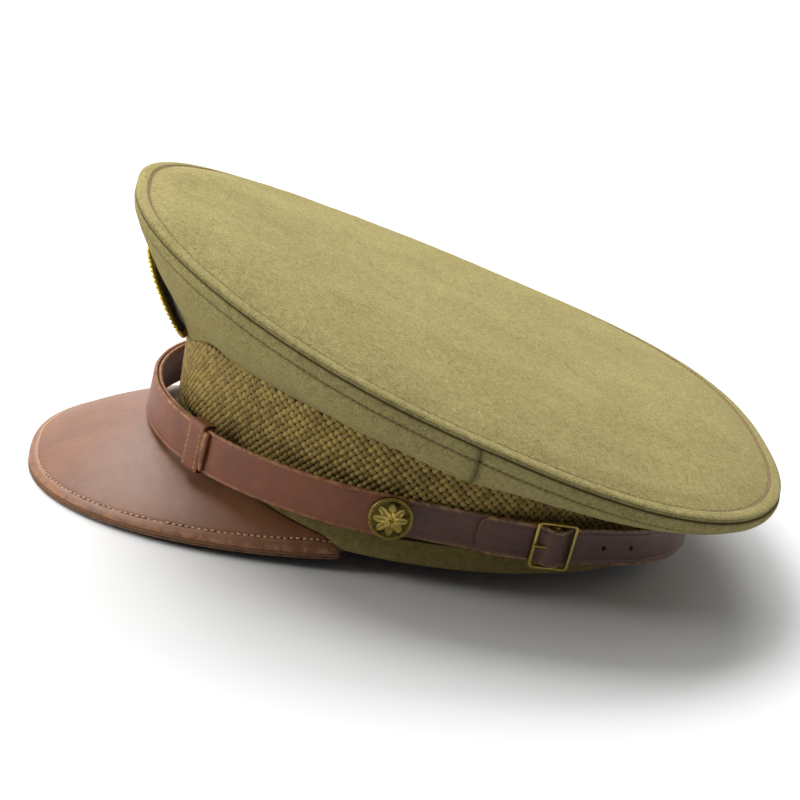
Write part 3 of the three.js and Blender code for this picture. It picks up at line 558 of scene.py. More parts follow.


# The third colour of each felt is its painted shade for seams and hidden faces.
WOOL = felt("felted_wool", colour(172, 161, 108), colour(112, 101, 60), colour(62, 52, 30))
# The welt's wool is the crown's wool made darker: painted shade for the welt low under the strap.
SHADED_WELT_WOOL = felt("welt_wool", colour(146, 132, 80), colour(100, 89, 50), colour(50, 43, 23))
# The braid's third colour is painted shade for the gaps between the knots.
BRAID = braid_yarn("mohair_braid", colour(186, 160, 86), colour(98, 79, 34), colour(32, 24, 10))
VISOR_LEATHER = leather(
    "visor_leather", colour(122, 76, 45), colour(99, 59, 33), colour(156, 110, 76), 0.5, 0.2, 0.35, 0.5
)
STRAP_LEATHER = leather(
    "strap_leather", colour(124, 68, 37), colour(94, 49, 26), colour(160, 114, 78), 0.45, 0.4, 0.0
)
NAPE_LEATHER = leather(
    "nape_leather", colour(98, 63, 50), colour(72, 44, 34), colour(166, 130, 88), 0.42, 0.4, 0.04
)
LINING_LEATHER = leather(
    "visor_lining_leather", colour(92, 60, 40), colour(68, 43, 29), colour(120, 88, 62), 0.5, 0.8, 0.0
)
SWEAT_LEATHER = leather(
    "sweatband_leather", colour(150, 96, 56), colour(120, 74, 42), colour(176, 128, 86), 0.45, 0.6, 0.05
)
BRASS = brass("aged_brass", colour(172, 150, 78), colour(50, 42, 19))
GILT = brass("gilt_brass", colour(220, 194, 98), colour(62, 50, 22), 0.3)
STEEL = steel("plated_steel", colour(150, 148, 140), colour(96, 94, 88))
PINK_THREAD = thread("seam_thread", colour(186, 146, 116), colour(128, 92, 66))
DARK_THREAD = thread("panel_thread", colour(150, 124, 84), colour(104, 82, 52))
TAN_THREAD = thread("tan_thread", colour(214, 178, 140), colour(170, 130, 96))
# Painted shade: the dark inside of the needle holes.
PAINTED_HOLE_SHADE = thread("needle_hole", colour(40, 22, 14), colour(22, 12, 8))
SATIN = satin("lining_satin", colour(156, 128, 72), colour(96, 76, 38))
BUCKRAM = fibrous(
    "buckram", colour(160, 144, 112), colour(116, 100, 74), 1200, 4, 0.7, 0.85, 0.15, 0.6
)
CORE_EDGE = fibrous(
    "visor_core_edge", colour(150, 104, 66), colour(86, 54, 34), 900, 4, 0.7, 0.8, 0.2, 0.6,
    stretch=(0.25, 0.25, 3),
)

# CAD nodes that are shown as they are, with better materials.
PAINTED = {
    "band_stiffener": BUCKRAM,
    "crown_grommet": STEEL,
    "front_stay": STEEL,
    "button_washer_left": BRASS,
    "button_washer_right": BRASS,
    "button_nut_left": STEEL,
    "button_nut_right": STEEL,
    "badge_post": GILT,
    "badge_nut": BRASS,
}


def paint_nodes():
    for node, material in PAINTED.items():
        mesh = frame["nodes"][node].data
        mesh.materials.clear()
        mesh.materials.append(material)


# ---------- Band ----------


def band_point(angle, inset, z):
    t = np.radians(angle)
    x = (BAND_HALF_WIDTH - inset) * np.sin(t)
    y = -(BAND_HALF_LENGTH - inset) * np.cos(t)
    return coords(x, y, z)


def from_front(angle):
    return np.abs((np.asarray(angle, float) + 180) % 360 - 180)


def visor_share(angle):
    return np.maximum(0, 1 - (from_front(angle) / VISOR_END_ANGLE) ** 2)


def band_foot(angle):
    share = visor_share(angle)
    return (VISOR_STACK + 0.2) * np.minimum(1, share * 8) + VISOR_ROOT_RISE * share**1.4


def front_dip(angle):
    return BAND_FRONT_DIP * (1 - smoothstep(from_front(angle), 8, 30))


def band_top(angle):
    wave = np.minimum(180, from_front(angle) * 1.6)
    rise = BAND_FRONT_RISE * (1 + np.cos(np.radians(wave))) / 2
    drop = BAND_BACK_DROP * smoothstep(from_front(angle), 90, 150)
    return BAND_HEIGHT + rise - drop - front_dip(angle)


def upright_strip(angles, outer, inner, radius, foot, top, rows=6, steps=5):
    """Loops round the band of a thin upright strip with rounded edges."""
    middle = (outer + inner) / 2
    half = (inner - outer) / 2
    up = np.linspace(0, 1, rows)
    turn = np.linspace(0, math.pi, steps + 2)[1:-1]
    bow = half * np.cos(turn)
    side = radius * (1 - 2 * up)
    edge = radius * (1 - np.sin(turn))
    insets = np.concatenate([np.full(rows, outer), middle - bow, np.full(rows, inner), middle + bow])
    shares = np.concatenate([up, np.ones(steps), up[::-1], np.zeros(steps)])
    lifts = np.concatenate([side, -edge, side[::-1], edge])
    heights = foot[:, None] + (top - foot)[:, None] * shares + lifts
    return band_point(angles[:, None], insets, heights)


def knot_template():
    """One float of yarn: a pillow along x whose ends dive under its neighbours."""
    x, y = np.meshgrid(np.linspace(-1, 1, 7), np.linspace(-1, 1, 5), indexing="ij")
    width = KNOT_WIDTH / 2 * (1 - 0.18 * x**2)
    z = 0.95 * np.sqrt(np.clip(1 - 0.96 * y**2, 0, 1)) * (1 - 0.5 * x**2) - 0.65 * x**2 - 0.6
    # Painted shade: depth darkens the knot's edges, where they dive under their neighbours.
    depth = np.clip(np.maximum(np.abs(y) ** 6 * 0.7, np.abs(x) ** 6 * 0.8), 0, 1)
    knot = small_shape(coords(x * KNOT_LENGTH / 2, y * width, z), wrap=False)
    return knot, depth.ravel(), y.ravel()


def knot_lattice():
    """Centres and axes of the knots, in level rows that lean by turns left and right."""
    centres, axes = [], []
    for row in range(int(np.max(band_top(np.arange(360))) / KNOT_ROW) + 1):
        angle = (np.arange(KNOTS_ROUND) + 0.5 * (row % 2)) * 360 / KNOTS_ROUND
        z = KNOT_ROW * row
        angle = angle[(z > band_foot(angle) + WELT_HEIGHT + 0.8) & (z < band_top(angle) + 0.9)]
        around = unit(band_point(angle + 0.5, 0, 0) - band_point(angle - 0.5, 0, 0))
        outward = np.cross(around, UPWARD)
        lean = math.radians(KNOT_SLOPE) * (1 if row % 2 else -1)
        lean = lean + RANDOM.normal(0, KNOT_SCATTER, (len(angle), 1))
        travel = around * np.cos(lean) + UPWARD * np.sin(lean)
        proud = RANDOM.normal(0, KNOT_SCATTER, (len(angle), 1))
        centres.append(band_point(angle, 0.1, z) + outward * proud)
        axes.append(np.stack([travel, np.cross(outward, travel), outward], axis=1))
    return np.concatenate(centres), np.concatenate(axes)


def make_braid():
    knot, depth, ply = knot_template()
    centres, axes = knot_lattice()
    tone = RANDOM.uniform(0, 1, len(centres))[:, None]
    scatter("braid_knots", *knot, centres, axes, BRAID, slot="braid", tone=tone, depth=depth, ply=ply)
    angles = np.arange(0, 360, 2.0)
    foot = band_foot(angles) + WELT_HEIGHT + 0.3
    loops = upright_strip(angles, *BRAID_BACKING, 0.4, foot, band_top(angles))
    # The backing between the knots is coloured all in painted shade.
    loft("braid_backing", loops, BRAID, closed=True, stands_for=["braid_band"], slot="braid", depth=1)


def make_welt():
    angles = np.arange(0, 360, 1.0)
    foot = band_foot(angles)
    radius = (WELT_INSET + WELT_PROUD) / 2
    loops = upright_strip(angles, -WELT_PROUD, WELT_INSET, radius, foot, foot + WELT_HEIGHT, rows=8)
    loops = loops + unit(loops * LEVEL) * 0.12 * soft_waves(loops, 26, 3)[..., None]
    loft("welt_cloth", loops, SHADED_WELT_WOOL, closed=True, stands_for=["bottom_welt"], slot="wool_dark")


def sweatband_point(angle, share, depth):
    """Point on the sweatband's inner leather face, `depth` outward from it."""
    foot = band_foot(angle) - VISOR_STACK * np.minimum(1, visor_share(angle) * 8)
    inset = SWEATBAND_INSET + SWEATBAND_THICKNESS - depth + SWEATBAND_LEAN * share
    return band_point(angle, inset, foot + SWEATBAND_HEIGHT * share)


def make_sweatband():
    angles = np.arange(0, 360, 1.0)[:, None]
    up = np.linspace(0, 1, 12)
    bead = 0.45 * ridge(up, 0.02, 0.035)
    inner = sweatband_point(angles, up, -bead)
    outer = sweatband_point(angles, up[::-1], SWEATBAND_THICKNESS)
    loft(
        "sweatband_leather", np.concatenate([inner, outer], axis=1), SWEAT_LEATHER, closed=True,
        stands_for=["sweatband"], slot="sweatband_leather",
        wear=np.concatenate([np.abs(2 * up - 1) ** 5, 0 * up]),
    )
    path = sweatband_point(np.arange(0, 361, 1.0), 0.09, 0)
    stitch_row("sweatband_stitches", path, -unit(path * LEVEL), 3.0, TAN_THREAD, 0.26, slant=0.5)


# ---------- Crown ----------


def crown_point(share, angle):
    t = np.radians(angle)
    across = signed_power(np.sin(t), CROWN_SQUARENESS)
    along = signed_power(np.cos(t), CROWN_SQUARENESS)
    rise = CROWN_DOME + CROWN_DOME_FRONT * share * np.cos(t)
    x = share * CROWN_HALF_WIDTH * (1 - CROWN_EGG * share * np.cos(t)) * across
    y = CROWN_CENTRE_Y - share * CROWN_HALF_LENGTH * along
    z = CROWN_MEAN_HEIGHT + CROWN_TILT * share * along
    z = z + CROWN_SADDLE * share**2 * np.cos(2 * t) + rise * (1 - share**CROWN_DOME_POWER)
    return coords(x, y, z)


def seam_height(distance, ridge_height):
    """Height of the cloth by distance from the seam: turned allowance, then the stitched line."""
    pad = smoothstep(distance, -0.2, 1.3) * (1 - smoothstep(distance, 4.1, 5.6))
    return ridge_height * pad - 0.5 * ridge(distance, SEAM_ALLOWANCE, 0.5)


def seam_shade(distance, at_seam):
    stitched = 0.9 * ridge(distance, SEAM_ALLOWANCE, 0.5)
    return np.clip(at_seam * ridge(distance, 0, 0.35) + stitched, 0, 1)


def rim_reach(angles):
    """Length of each ray to the rim, shortened by how squarely it meets the rim."""
    rim = crown_point(1.0, angles)
    ray = rim - crown_point(0.0, angles)
    lengthwise = np.abs(np.sum(unit(ray) * unit(ring_step(rim)), axis=-1))
    return np.linalg.norm(ray, axis=-1) * np.sqrt(1 - lengthwise**2)


def crown_top_surface(angles):
    """Grid on the top panel: rows by angle, columns from the rim to the middle."""
    reach = rim_reach(angles)[:, None]
    rim_part = 1 - SEAM_SAMPLES / reach
    inner_part = rim_part[:, -1:] * (1 - np.linspace(0, 1, 46)[1:])
    shares = np.concatenate([rim_part, inner_part], axis=1)
    distance = (1 - shares) * reach
    points = crown_point(shares, angles[:, None])
    normals = grid_normals(points, True)
    normals *= np.sign(normals[..., 2:3])
    puff = smoothstep(distance, 4.4, 15) * (1 - 0.5 * smoothstep(distance, 25, 90))
    height = seam_height(distance, 0.55) + 1.5 * puff
    slack = 0.85 * soft_waves(points, 75, 11) + 0.22 * soft_waves(points, 21, 12)
    height += smoothstep(distance, 3, 30) * slack
    height += 0.07 * soft_waves(points, 5, 13) * smoothstep(distance, 0, 4)
    return points + normals * height[..., None], normals, distance


def rolled_edge(edge, outward, up, radius):
    """Half circle of points from an edge on the upper face round to the lower face."""
    turn = np.linspace(math.pi / 2, -math.pi / 2, 7)[1:-1]
    rings = [edge + outward * radius * math.cos(a) + up * radius * (math.sin(a) - 1) for a in turn]
    return np.stack(rings, axis=1)


def make_crown_top():
    angles = np.arange(0, 360, 0.5)
    outer, normals, distance = crown_top_surface(angles)
    rim = outer[:, 0]
    outward = unit(np.cross(unit(ring_step(rim)), normals[:, 0]))
    outward *= np.sign(np.sum(outward * rim * LEVEL, axis=-1, keepdims=True))
    roll = rolled_edge(rim - outward * CLOTH / 2, outward, normals[:, 0], CLOTH / 2)
    under = outer - normals * CLOTH
    under[:, 0] = roll[:, -1] - outward * 0.4
    points = np.concatenate([outer[:, ::-1], roll, under], axis=1)
    shade = seam_shade(distance, 0)[:, ::-1]
    roll_shade = np.broadcast_to(np.linspace(0, 0.8, roll.shape[1]) ** 3, roll.shape[:2])
    # Painted shade: the seam's shade on top, shade under the rolled edge, and 0.6 on the hidden underside.
    seam = np.concatenate([shade, roll_shade, 0 * shade + 0.6], axis=1)
    faces = grid_faces(*points.shape[:2], True, False)
    top = new_piece(
        "crown_top_cloth", points, faces, WOOL, stands_for=["crown_top"], slot="wool_crown", seam=seam
    )
    ring = [*range(len(angles)), 0]
    path = outer[ring, STITCH_COLUMN]
    up = normals[ring, STITCH_COLUMN]
    stitch_row("rim_stitches_above", path, up, CLOTH_STITCH_PITCH, PINK_THREAD, 0.34)


def panel_curve(angles):
    """Control points (outward, height) of the side panels' section at each angle."""
    foot = band_point(angles, 0, band_top(angles))
    rim = crown_point(1.0, angles)
    rim_height = rim[..., 2] - CLOTH - 0.1
    outward = (rim - foot) * LEVEL
    overhang = np.linalg.norm(outward, axis=-1)
    facing = np.cos(np.radians(angles))
    lift = BELLY_DROP_SWING * np.where(facing > 0, facing, np.abs(facing) ** 0.6)
    across = coords(0.6, 10 + 2 * facing, overhang, overhang)
    heights = coords(
        foot[..., 2] + 0.9,
        foot[..., 2] + front_dip(angles) + 4 + 11 * np.maximum(0, facing) ** 2,
        rim_height - BELLY_DROP + lift,
        rim_height,
    )
    return foot, unit(outward), coords(across, heights)


def panel_grid(angles):
    """Grid on a side panel: rows by angle, columns from the rim down to the band."""
    foot, outward, control = panel_curve(angles)
    share = np.linspace(1, 0, 160)
    away = 1 - share
    weights = np.stack([away**3, 3 * share * away**2, 3 * share**2 * away, share**3])
    points, distance = [], []
    for row, section in enumerate(np.einsum("ks,nkc->nsc", weights, control)):
        lengths = path_lengths(section)
        rest = np.linspace(SEAM_SAMPLES[-1], lengths[-1], 44)[1:]
        at = np.concatenate([SEAM_SAMPLES, rest])
        out = np.interp(at, lengths, section[:, 0])[:, None]
        height = np.interp(at, lengths, section[:, 1])[:, None]
        points.append(foot[row] * LEVEL + outward[row] * out + UPWARD * height)
        distance.append(at)
    return np.array(points), np.array(distance)


def panel_surface(angles, seed):
    points, distance = panel_grid(angles)
    normals = grid_normals(points, False)
    normals *= np.sign(np.mean(np.sum(normals * points * LEVEL, axis=-1)))
    row = np.arange(len(angles))
    from_end = np.minimum(row, row[::-1])[:, None] * PANEL_STEP
    height = seam_height(distance, 0.4) - 0.5 * ridge(from_end, 0, 0.8)
    slack = 0.5 * soft_waves(points, 48, seed) + 0.2 * soft_waves(points, 15, seed + 1)
    height += smoothstep(distance, 4, 16) * slack
    height += 0.06 * soft_waves(points, 4.5, seed + 2)
    shade = np.clip(seam_shade(distance, 0.8) + 0.6 * ridge(from_end, 0, 0.5), 0, 1)
    return points + normals * height[..., None], normals, shade


def make_panel(name, node, start, end, seed):
    angles = np.linspace(start, end, int((end - start) * 2) + 1)
    outer, normals, shade = panel_surface(angles, seed)
    inner = (outer - normals * CLOTH)[:, ::-1]
    top = outer[:, :1] + UPWARD * 0.45 - normals[:, :1] * 0.7
    loops = np.concatenate([outer, inner, top], axis=1)
    # Painted shade: the seams' shade outside, 0.5 on the inner face and 0.9 on the top edge.
    seam = np.concatenate([shade, 0 * shade + 0.5, 0 * shade[:, :1] + 0.9], axis=1)
    panel = loft(name, loops, WOOL, stands_for=[node], slot="wool_crown", seam=seam)
    path = outer[:, STITCH_COLUMN]
    up = normals[:, STITCH_COLUMN]
    stitch_row(name + "_stitches", path, up, CLOTH_STITCH_PITCH, DARK_THREAD, 0.28)


def lining_surface(angles, depth):
    """The lining bag: across under the top panel, down to the band and inside its top edge."""
    facing = np.cos(np.radians(angles))
    reach = LINING_REACH + LINING_REACH_SWING * facing - depth / CROWN_HALF_LENGTH
    shares = np.linspace(0, 1, 24) * reach[:, None]
    top = crown_point(shares, angles[:, None]) - UPWARD * (CLOTH + LINING_DROP + depth)
    inset = LINING_GAP + 3 * np.maximum(0, facing) + depth
    shoulder = band_point(angles, inset, band_top(angles) + LINING_SHOULDER - depth)
    foot = band_point(angles, inset, band_top(angles) - LINING_TUCK)
    along = np.linspace(0, 1, 14)[1:, None, None]
    side = (top[:, -1] + (shoulder - top[:, -1]) * along).transpose(1, 0, 2)
    return np.concatenate([top, side, foot[:, None]], axis=1)


def make_lining():
    """Loose satin inside the crown, gathered in soft folds towards the band."""
    angles = np.arange(0, 360, 1.0)
    outer = lining_surface(angles, 0)
    inner = lining_surface(angles, LINING_CLOTH)
    column = np.arange(outer.shape[1])
    loose = smoothstep(column, 5, 22) * (1 - smoothstep(column, 30, 36))
    folds = np.sin(np.radians(angles * 40)) + 0.6 * np.sin(np.radians(angles * 27 + 50))
    pull = unit(outer * LEVEL) * (0.9 * folds[:, None] * loose - 0.9 * loose)[..., None]
    loops = np.concatenate([outer + pull, (inner + pull)[:, ::-1]], axis=1)
    lining = loft(
        "lining_cloth", loops, SATIN, closed=True, stands_for=["crown_lining"], slot="lining_satin"
    )


def make_crown():
    make_crown_top()
    make_panel("front_panel_cloth", "crown_front_panel", -90, 90, 21)
    make_panel("left_quarter_cloth", "crown_left_quarter", 90, 180, 31)
    make_panel("right_quarter_cloth", "crown_right_quarter", 180, 270, 41)
    make_lining()


# ---------- Visor ----------


def visor_outer_edge(angle):
    u = np.radians(angle * 90 / VISOR_END_ANGLE)
    end = band_point(VISOR_END_ANGLE, 0, 0)
    level = np.maximum(0, np.cos(u))
    x = (end[0] + 0.6 + VISOR_FLARE * level**0.4) * signed_power(np.sin(u), VISOR_SQUARENESS)
    y = end[1] + (VISOR_TIP_Y - end[1]) * level**VISOR_SQUARENESS
    return coords(x, y, -0.3 - VISOR_DROP * level**0.6)


# Angles packed towards the visor's ends, where its outline turns fastest.
VISOR_ANGLES = VISOR_END_ANGLE * np.sin(np.linspace(-math.pi / 2, math.pi / 2, 361))
VISOR_EDGE = visor_outer_edge(VISOR_ANGLES)


def visor_grid(depth):
    """Grid on the visor: rows by angle, columns from under the band to the outer edge."""
    level = band_foot(VISOR_ANGLES) - 0.3
    tucked = band_point(VISOR_ANGLES, SWEATBAND_INSET - 0.4, level - depth)
    root = band_point(VISOR_ANGLES, -0.4, level)
    width = np.linalg.norm(VISOR_EDGE - root, axis=-1) / (-VISOR_TIP_Y - BAND_HALF_LENGTH)
    share = 1 - np.linspace(1, 0, 70)[None, :, None] ** 1.7
    slope = root[:, None] + (VISOR_EDGE - root)[:, None] * share
    slope[..., 2] += VISOR_BULGE * width[:, None] * 4 * (share * (1 - share))[..., 0] - depth
    return np.concatenate([tucked[:, None], slope], axis=1)


def edge_distance(points):
    """Distance in plan of each point from the visor's outer edge."""
    flat = points[..., :2].reshape(-1, 1, 2)
    nearest = []
    for part in np.array_split(flat, 40):
        gaps = np.linalg.norm(part - VISOR_EDGE[None, :, :2], axis=-1)
        nearest.append(np.min(gaps, axis=1))
    return np.concatenate(nearest).reshape(points.shape[:-1])


def make_visor_layer(name, node, layer, material, slot, border=False):
    depth, thickness = layer
    upper = visor_grid(depth)
    distance = edge_distance(upper)
    lower = upper - UPWARD * thickness
    near_edge = 1 - np.clip(distance / 0.5, 0, 1)
    edge_round = thickness / 2 * (1 - np.sqrt(np.clip(1 - near_edge**2, 0, 1)))
    upper[..., 2] -= edge_round
    lower[..., 2] += edge_round
    if border:
        raised = 0.4 * smoothstep(distance, -0.3, 0.9) * (1 - smoothstep(distance, 2.1, 2.8))
        upper[..., 2] += raised - 0.3 * ridge(distance, VISOR_BORDER, 0.45)
        upper[..., 2] += 0.12 * soft_waves(upper, 38, 51) * smoothstep(distance, 5, 15)
    wear = np.clip(ridge(distance, 0, 0.8) + 0.35 * ridge(distance, 2.0, 0.9), 0, 1)
    loops = np.concatenate([upper, lower[:, ::-1]], axis=1)
    wear = np.concatenate([wear, wear[:, ::-1]], axis=1)
    loft(name, loops, material, stands_for=[node], slot=slot, wear=wear)


def visor_seam_path():
    """Line of stitching inside the visor's edge, on the top face, with its normals."""
    travel = unit(np.gradient(VISOR_EDGE, axis=0) * LEVEL)
    inward = np.cross(UPWARD, travel)
    inward *= np.sign(np.sum(inward * -VISOR_EDGE * LEVEL, axis=-1, keepdims=True))
    line = VISOR_EDGE + inward * VISOR_BORDER
    surface = visor_grid(0)
    normals = grid_normals(surface, False)
    normals *= np.sign(normals[..., 2:3])
    points, ups = [], []
    for spot in line[12:-12]:
        gap = np.linalg.norm(surface[..., :2] - spot[:2], axis=-1)
        nearest = np.unravel_index(np.argmin(gap), gap.shape)
        points.append([spot[0], spot[1], surface[nearest][2] - 0.22])
        ups.append(normals[nearest])
    return np.array(points), np.array(ups)


def make_visor():
    make_visor_layer(
        "visor_top_leather", "visor_top", VISOR_TOP, VISOR_LEATHER, "visor_leather", border=True
    )
    make_visor_layer("visor_core_board", "visor_core", VISOR_CORE, CORE_EDGE, "visor_board")
    make_visor_layer(
        "visor_lining_leather", "visor_lining", VISOR_LINING, LINING_LEATHER, "visor_lining_leather"
    )
    path, ups = visor_seam_path()
    stitch_row("visor_stitches", path, ups, VISOR_STITCH_PITCH, TAN_THREAD, 0.36)
    # The needle holes are coloured in painted shade.
    needle_holes("visor_needle_holes", path + ups * 0.05, ups, VISOR_STITCH_PITCH, 0.3, PAINTED_HOLE_SHADE)


# ---------- Straps ----------


class StrapLine:
    """Middle line of a strap from the left button round to the right one."""

    def __init__(self, half_width, reach, squareness, tilt, direction):
        lean = math.radians(tilt)
        self.forward = np.array([0, direction * math.cos(lean), math.sin(lean)])
        self.up = np.cross([direction, 0, 0], self.forward)
        turn = np.radians(np.linspace(0, 180, 721))
        across = half_width * signed_power(np.cos(turn), squareness)
        along = reach * np.sin(turn) ** squareness
        pivot = np.array([0, PIVOT[1], PIVOT[2]])
        self.points = pivot + np.outer(across, [1, 0, 0]) + np.outer(along, self.forward)
        self.lengths = path_lengths(self.points)
        self.total = self.lengths[-1]

    def on_line(self, length):
        return on_path(self.points, self.lengths, np.clip(length, 0, self.total))

    def at(self, length):
        """Point, direction of travel and outward normal at each length, straight past the ends."""
        length = np.asarray(length, float)
        clamped = np.clip(length, 0, self.total)
        travel = unit(self.on_line(clamped + 0.2) - self.on_line(clamped - 0.2))
        travel = np.where((length < 0)[..., None], self.forward, travel)
        travel = np.where((length > self.total)[..., None], -self.forward, travel)
        point = self.on_line(clamped) + travel * (length - clamped)[..., None]
        outward = unit(np.cross(travel, self.up))
        radial = np.sum(outward * (point - [0, PIVOT[1], 0]) * LEVEL, axis=-1, keepdims=True)
        return point, travel, outward * np.sign(radial)

    def near(self, length, lift, rise):
        """Points `lift` outward and `rise` up from the middle line."""
        point, _, outward = self.at(length)
        return point + outward * np.asarray(lift)[..., None] + self.up * np.asarray(rise)[..., None]


CHIN_LINE = StrapLine(88.4, 92.5, 1, 3.5, -1)
NAPE_LINE = StrapLine(86.4, 128, 0.75, -4.5, 1)


def rounded_outline(half_length, half_height, radius):
    """Points round a rectangle with rounded corners."""
    points = []
    for a, b, start in [(1, 1, 0), (-1, 1, 90), (-1, -1, 180), (1, -1, 270)]:
        for turn in np.radians(start + np.linspace(0, 90, 7)):
            x = a * (half_length - radius) + radius * math.cos(turn)
            y = b * (half_height - radius) + radius * math.sin(turn)
            points.append((x, y))
    return np.array(points)


def strap_section(width, thickness, crease):
    """Closed section (outward, up, wear) of a strap with soft edges and pressed lines."""
    half = width / 2
    radius = thickness / 2
    rise = np.linspace(-half + radius, half - radius, 37)
    height = np.abs(rise)
    face = radius + 0.12 * (1 - (rise / half) ** 2) - 0.2 * ridge(height, half - crease, 0.28)
    face = face + 0.05 * smoothstep(height, half - crease, half - crease + 0.6)
    turn = np.linspace(math.pi / 2, -math.pi / 2, 8)[1:-1]
    top_edge = coords(radius * np.sin(turn), half - radius + radius * np.cos(turn))
    back = coords(-radius, np.linspace(half - radius, -half + radius, 12))
    low_edge = coords(-radius * np.sin(turn), -half + radius - radius * np.cos(turn))
    section = np.concatenate([coords(face, rise), top_edge, back, low_edge])
    wear = [0.8 * smoothstep(height, half - 1.5, half - radius), np.ones(6), np.zeros(12), np.ones(6)]
    return section, np.concatenate(wear)


def strap_piece(name, line, stations, width, thickness, crease, material, **options):
    """A leather strap through stations of (length, lift, half width) along a strap line."""
    stations = np.array(stations, float)
    section, wear = strap_section(width, thickness, crease)
    flat = stations[:, :2]
    along = unit(np.gradient(flat, axis=0))
    lift = section[None, :, 0]
    length = flat[:, :1] - along[:, 1:] * lift
    height = flat[:, 1:] + along[:, :1] * lift
    rise = section[None, :, 1] * stations[:, 2:] / (width / 2)
    loops = line.near(length, height, rise)
    loops = loops + unit(loops * LEVEL) * 0.08 * soft_waves(loops, 14, 61)[..., None]
    full_width = smoothstep(stations[:, 2:] / (width / 2), 0.9, 1)
    return loft(name, loops, material, wear=wear * full_width, **options)


def tab_stations(button, sign, width):
    """Rounded end past a button, from its tip back to the button."""
    turn = np.radians([88, 75, 60, 45, 30, 15, 0])
    length = button + sign * (STRAP_TAB - 4 + 4 * np.sin(turn))
    half = width / 2 * (0.3 + 0.7 * np.cos(turn) ** 0.6)
    return [(at, 0, h) for at, h in zip(length, half)]


def chin_stations(hand):
    far = CHIN_LINE.total / 2 + KEEPER_FROM_FRONT + KEEPER_LENGTH / 2 + 1
    near = CHIN_LINE.total / 2 - KEEPER_FROM_FRONT
    length = np.linspace(-1, far, 170)
    lift = hand * LAYER_OFFSET * smoothstep(length, near - 40, near - 12)
    run = [(at, out, CHIN_WIDTH / 2) for at, out in zip(length, lift)]
    stations = [*tab_stations(0, -1, CHIN_WIDTH), *run]
    if hand > 0:
        return stations
    return [(CHIN_LINE.total - at, out, half) for at, out, half in stations]


def keeper_loop(grow, length):
    """Points once round the chin strap's two layers at one length."""
    half_lift = LAYER_OFFSET + CHIN_THICKNESS / 2 + KEEPER_GAP + grow
    outline = rounded_outline(half_lift, CHIN_WIDTH / 2 + KEEPER_GAP + grow, 0.7 + grow)
    return CHIN_LINE.near(np.full(len(outline), length), outline[:, 0], outline[:, 1])


def make_keeper(name, node, hand):
    """Leather loop with two rows of stitching and its folded end standing proud."""
    middle = CHIN_LINE.total / 2 - hand * KEEPER_FROM_FRONT
    across = np.linspace(-1, 1, 15)
    edge = 0.5 * (1 - np.sqrt(1 - 0.98 * across**8))
    groove = 0.16 * (ridge(across, -KEEPER_SEAM, 0.07) + ridge(across, KEEPER_SEAM, 0.07))
    lengths = middle + KEEPER_LENGTH / 2 * across
    outer = [keeper_loop(KEEPER_WALL - e - g, at) for at, e, g in zip(lengths, edge, groove)]
    inner = [keeper_loop(e, at) for at, e in zip(lengths[::-1], edge[::-1])]
    loft(
        name, np.stack([*outer, *inner], axis=1), STRAP_LEATHER, closed=True, body="chin_strap",
        stands_for=[node], slot="strap_leather", wear=np.concatenate([across, 0 * across]) ** 6,
    )
    rise = np.linspace(-CHIN_WIDTH / 2, CHIN_WIDTH / 2, 30)
    lift = np.full(len(rise), LAYER_OFFSET + CHIN_THICKNESS / 2 + KEEPER_GAP + 1.0)
    for label, share in (("front", -KEEPER_SEAM), ("back", KEEPER_SEAM)):
        at = np.full(len(rise), middle + KEEPER_LENGTH / 2 * share * hand)
        path = CHIN_LINE.near(at, lift, rise)
        outward = CHIN_LINE.at(at)[2]
        stitch_row(f"{name}_stitches_{label}", path, outward, 2.2, TAN_THREAD, 0.2, body="chin_strap")
    make_keeper_tab(name + "_tab", middle - hand * (KEEPER_LENGTH / 2 + 0.3), hand)


def make_keeper_tab(name, start, hand):
    """The folded tongue behind a keeper: broad at the top, drawn to a point below."""
    rise = np.linspace(1, -1, 24)[:, None]
    half = 0.7 + 1.5 * np.sqrt(np.clip(1 - ((rise - 0.35) / 1.36) ** 2, 0, 1))
    turn = circle(14)
    length = start - hand * (1.1 + half * 0.62 * np.cos(turn))
    lift = 2.4 + 0.5 * (1 - rise**2) + half * 0.5 * np.sin(turn)
    loops = CHIN_LINE.near(length, lift, rise * CHIN_WIDTH * 0.46)
    wear = np.clip(0.3 + 0.7 * np.sin(turn), 0, 1)
    loft(name, loops, STRAP_LEATHER, body="chin_strap", slot="strap_leather", wear=wear)


def make_chin_strap():
    for hand, side in ((1, "left"), (-1, "right")):
        strap_piece(
            f"chin_strap_{side}_leather", CHIN_LINE, chin_stations(hand), CHIN_WIDTH, CHIN_THICKNESS,
            CHIN_CREASE, STRAP_LEATHER, body="chin_strap", stands_for=[f"chin_strap_{side}"],
            slot="strap_leather",
        )
        make_keeper(f"keeper_{side}_leather", f"keeper_{side}", hand)


# ---------- Nape strap and buckle ----------


def short_strap_stations():
    """From the left button under the tail, then folded round the buckle's middle bar."""
    curl = BUCKLE_WIRE / 2 + BUCKLE_GAP + NAPE_THICKNESS / 2
    dip = BUCKLE_LIFT - curl - NAPE_THICKNESS - BUCKLE_GAP
    length = np.linspace(-1, BUCKLE_AT - 12, 50)
    run = zip(length, dip * smoothstep(length, 10, TAIL_END - 4))
    length = np.linspace(BUCKLE_AT - 11, BUCKLE_AT - 1.9, 14)
    lift = dip + (BUCKLE_LIFT - curl - dip) * smoothstep(length, BUCKLE_AT - 5.2, BUCKLE_AT - 1.6)
    turn = np.radians(np.linspace(-90, 140, 24))
    wrap = zip(BUCKLE_AT + curl * np.cos(turn), BUCKLE_LIFT + curl * np.sin(turn))
    strap = [(at, out, NAPE_WIDTH / 2) for at, out in (*run, *zip(length, lift), *wrap)]
    return [*tab_stations(0, -1, NAPE_WIDTH), *strap]


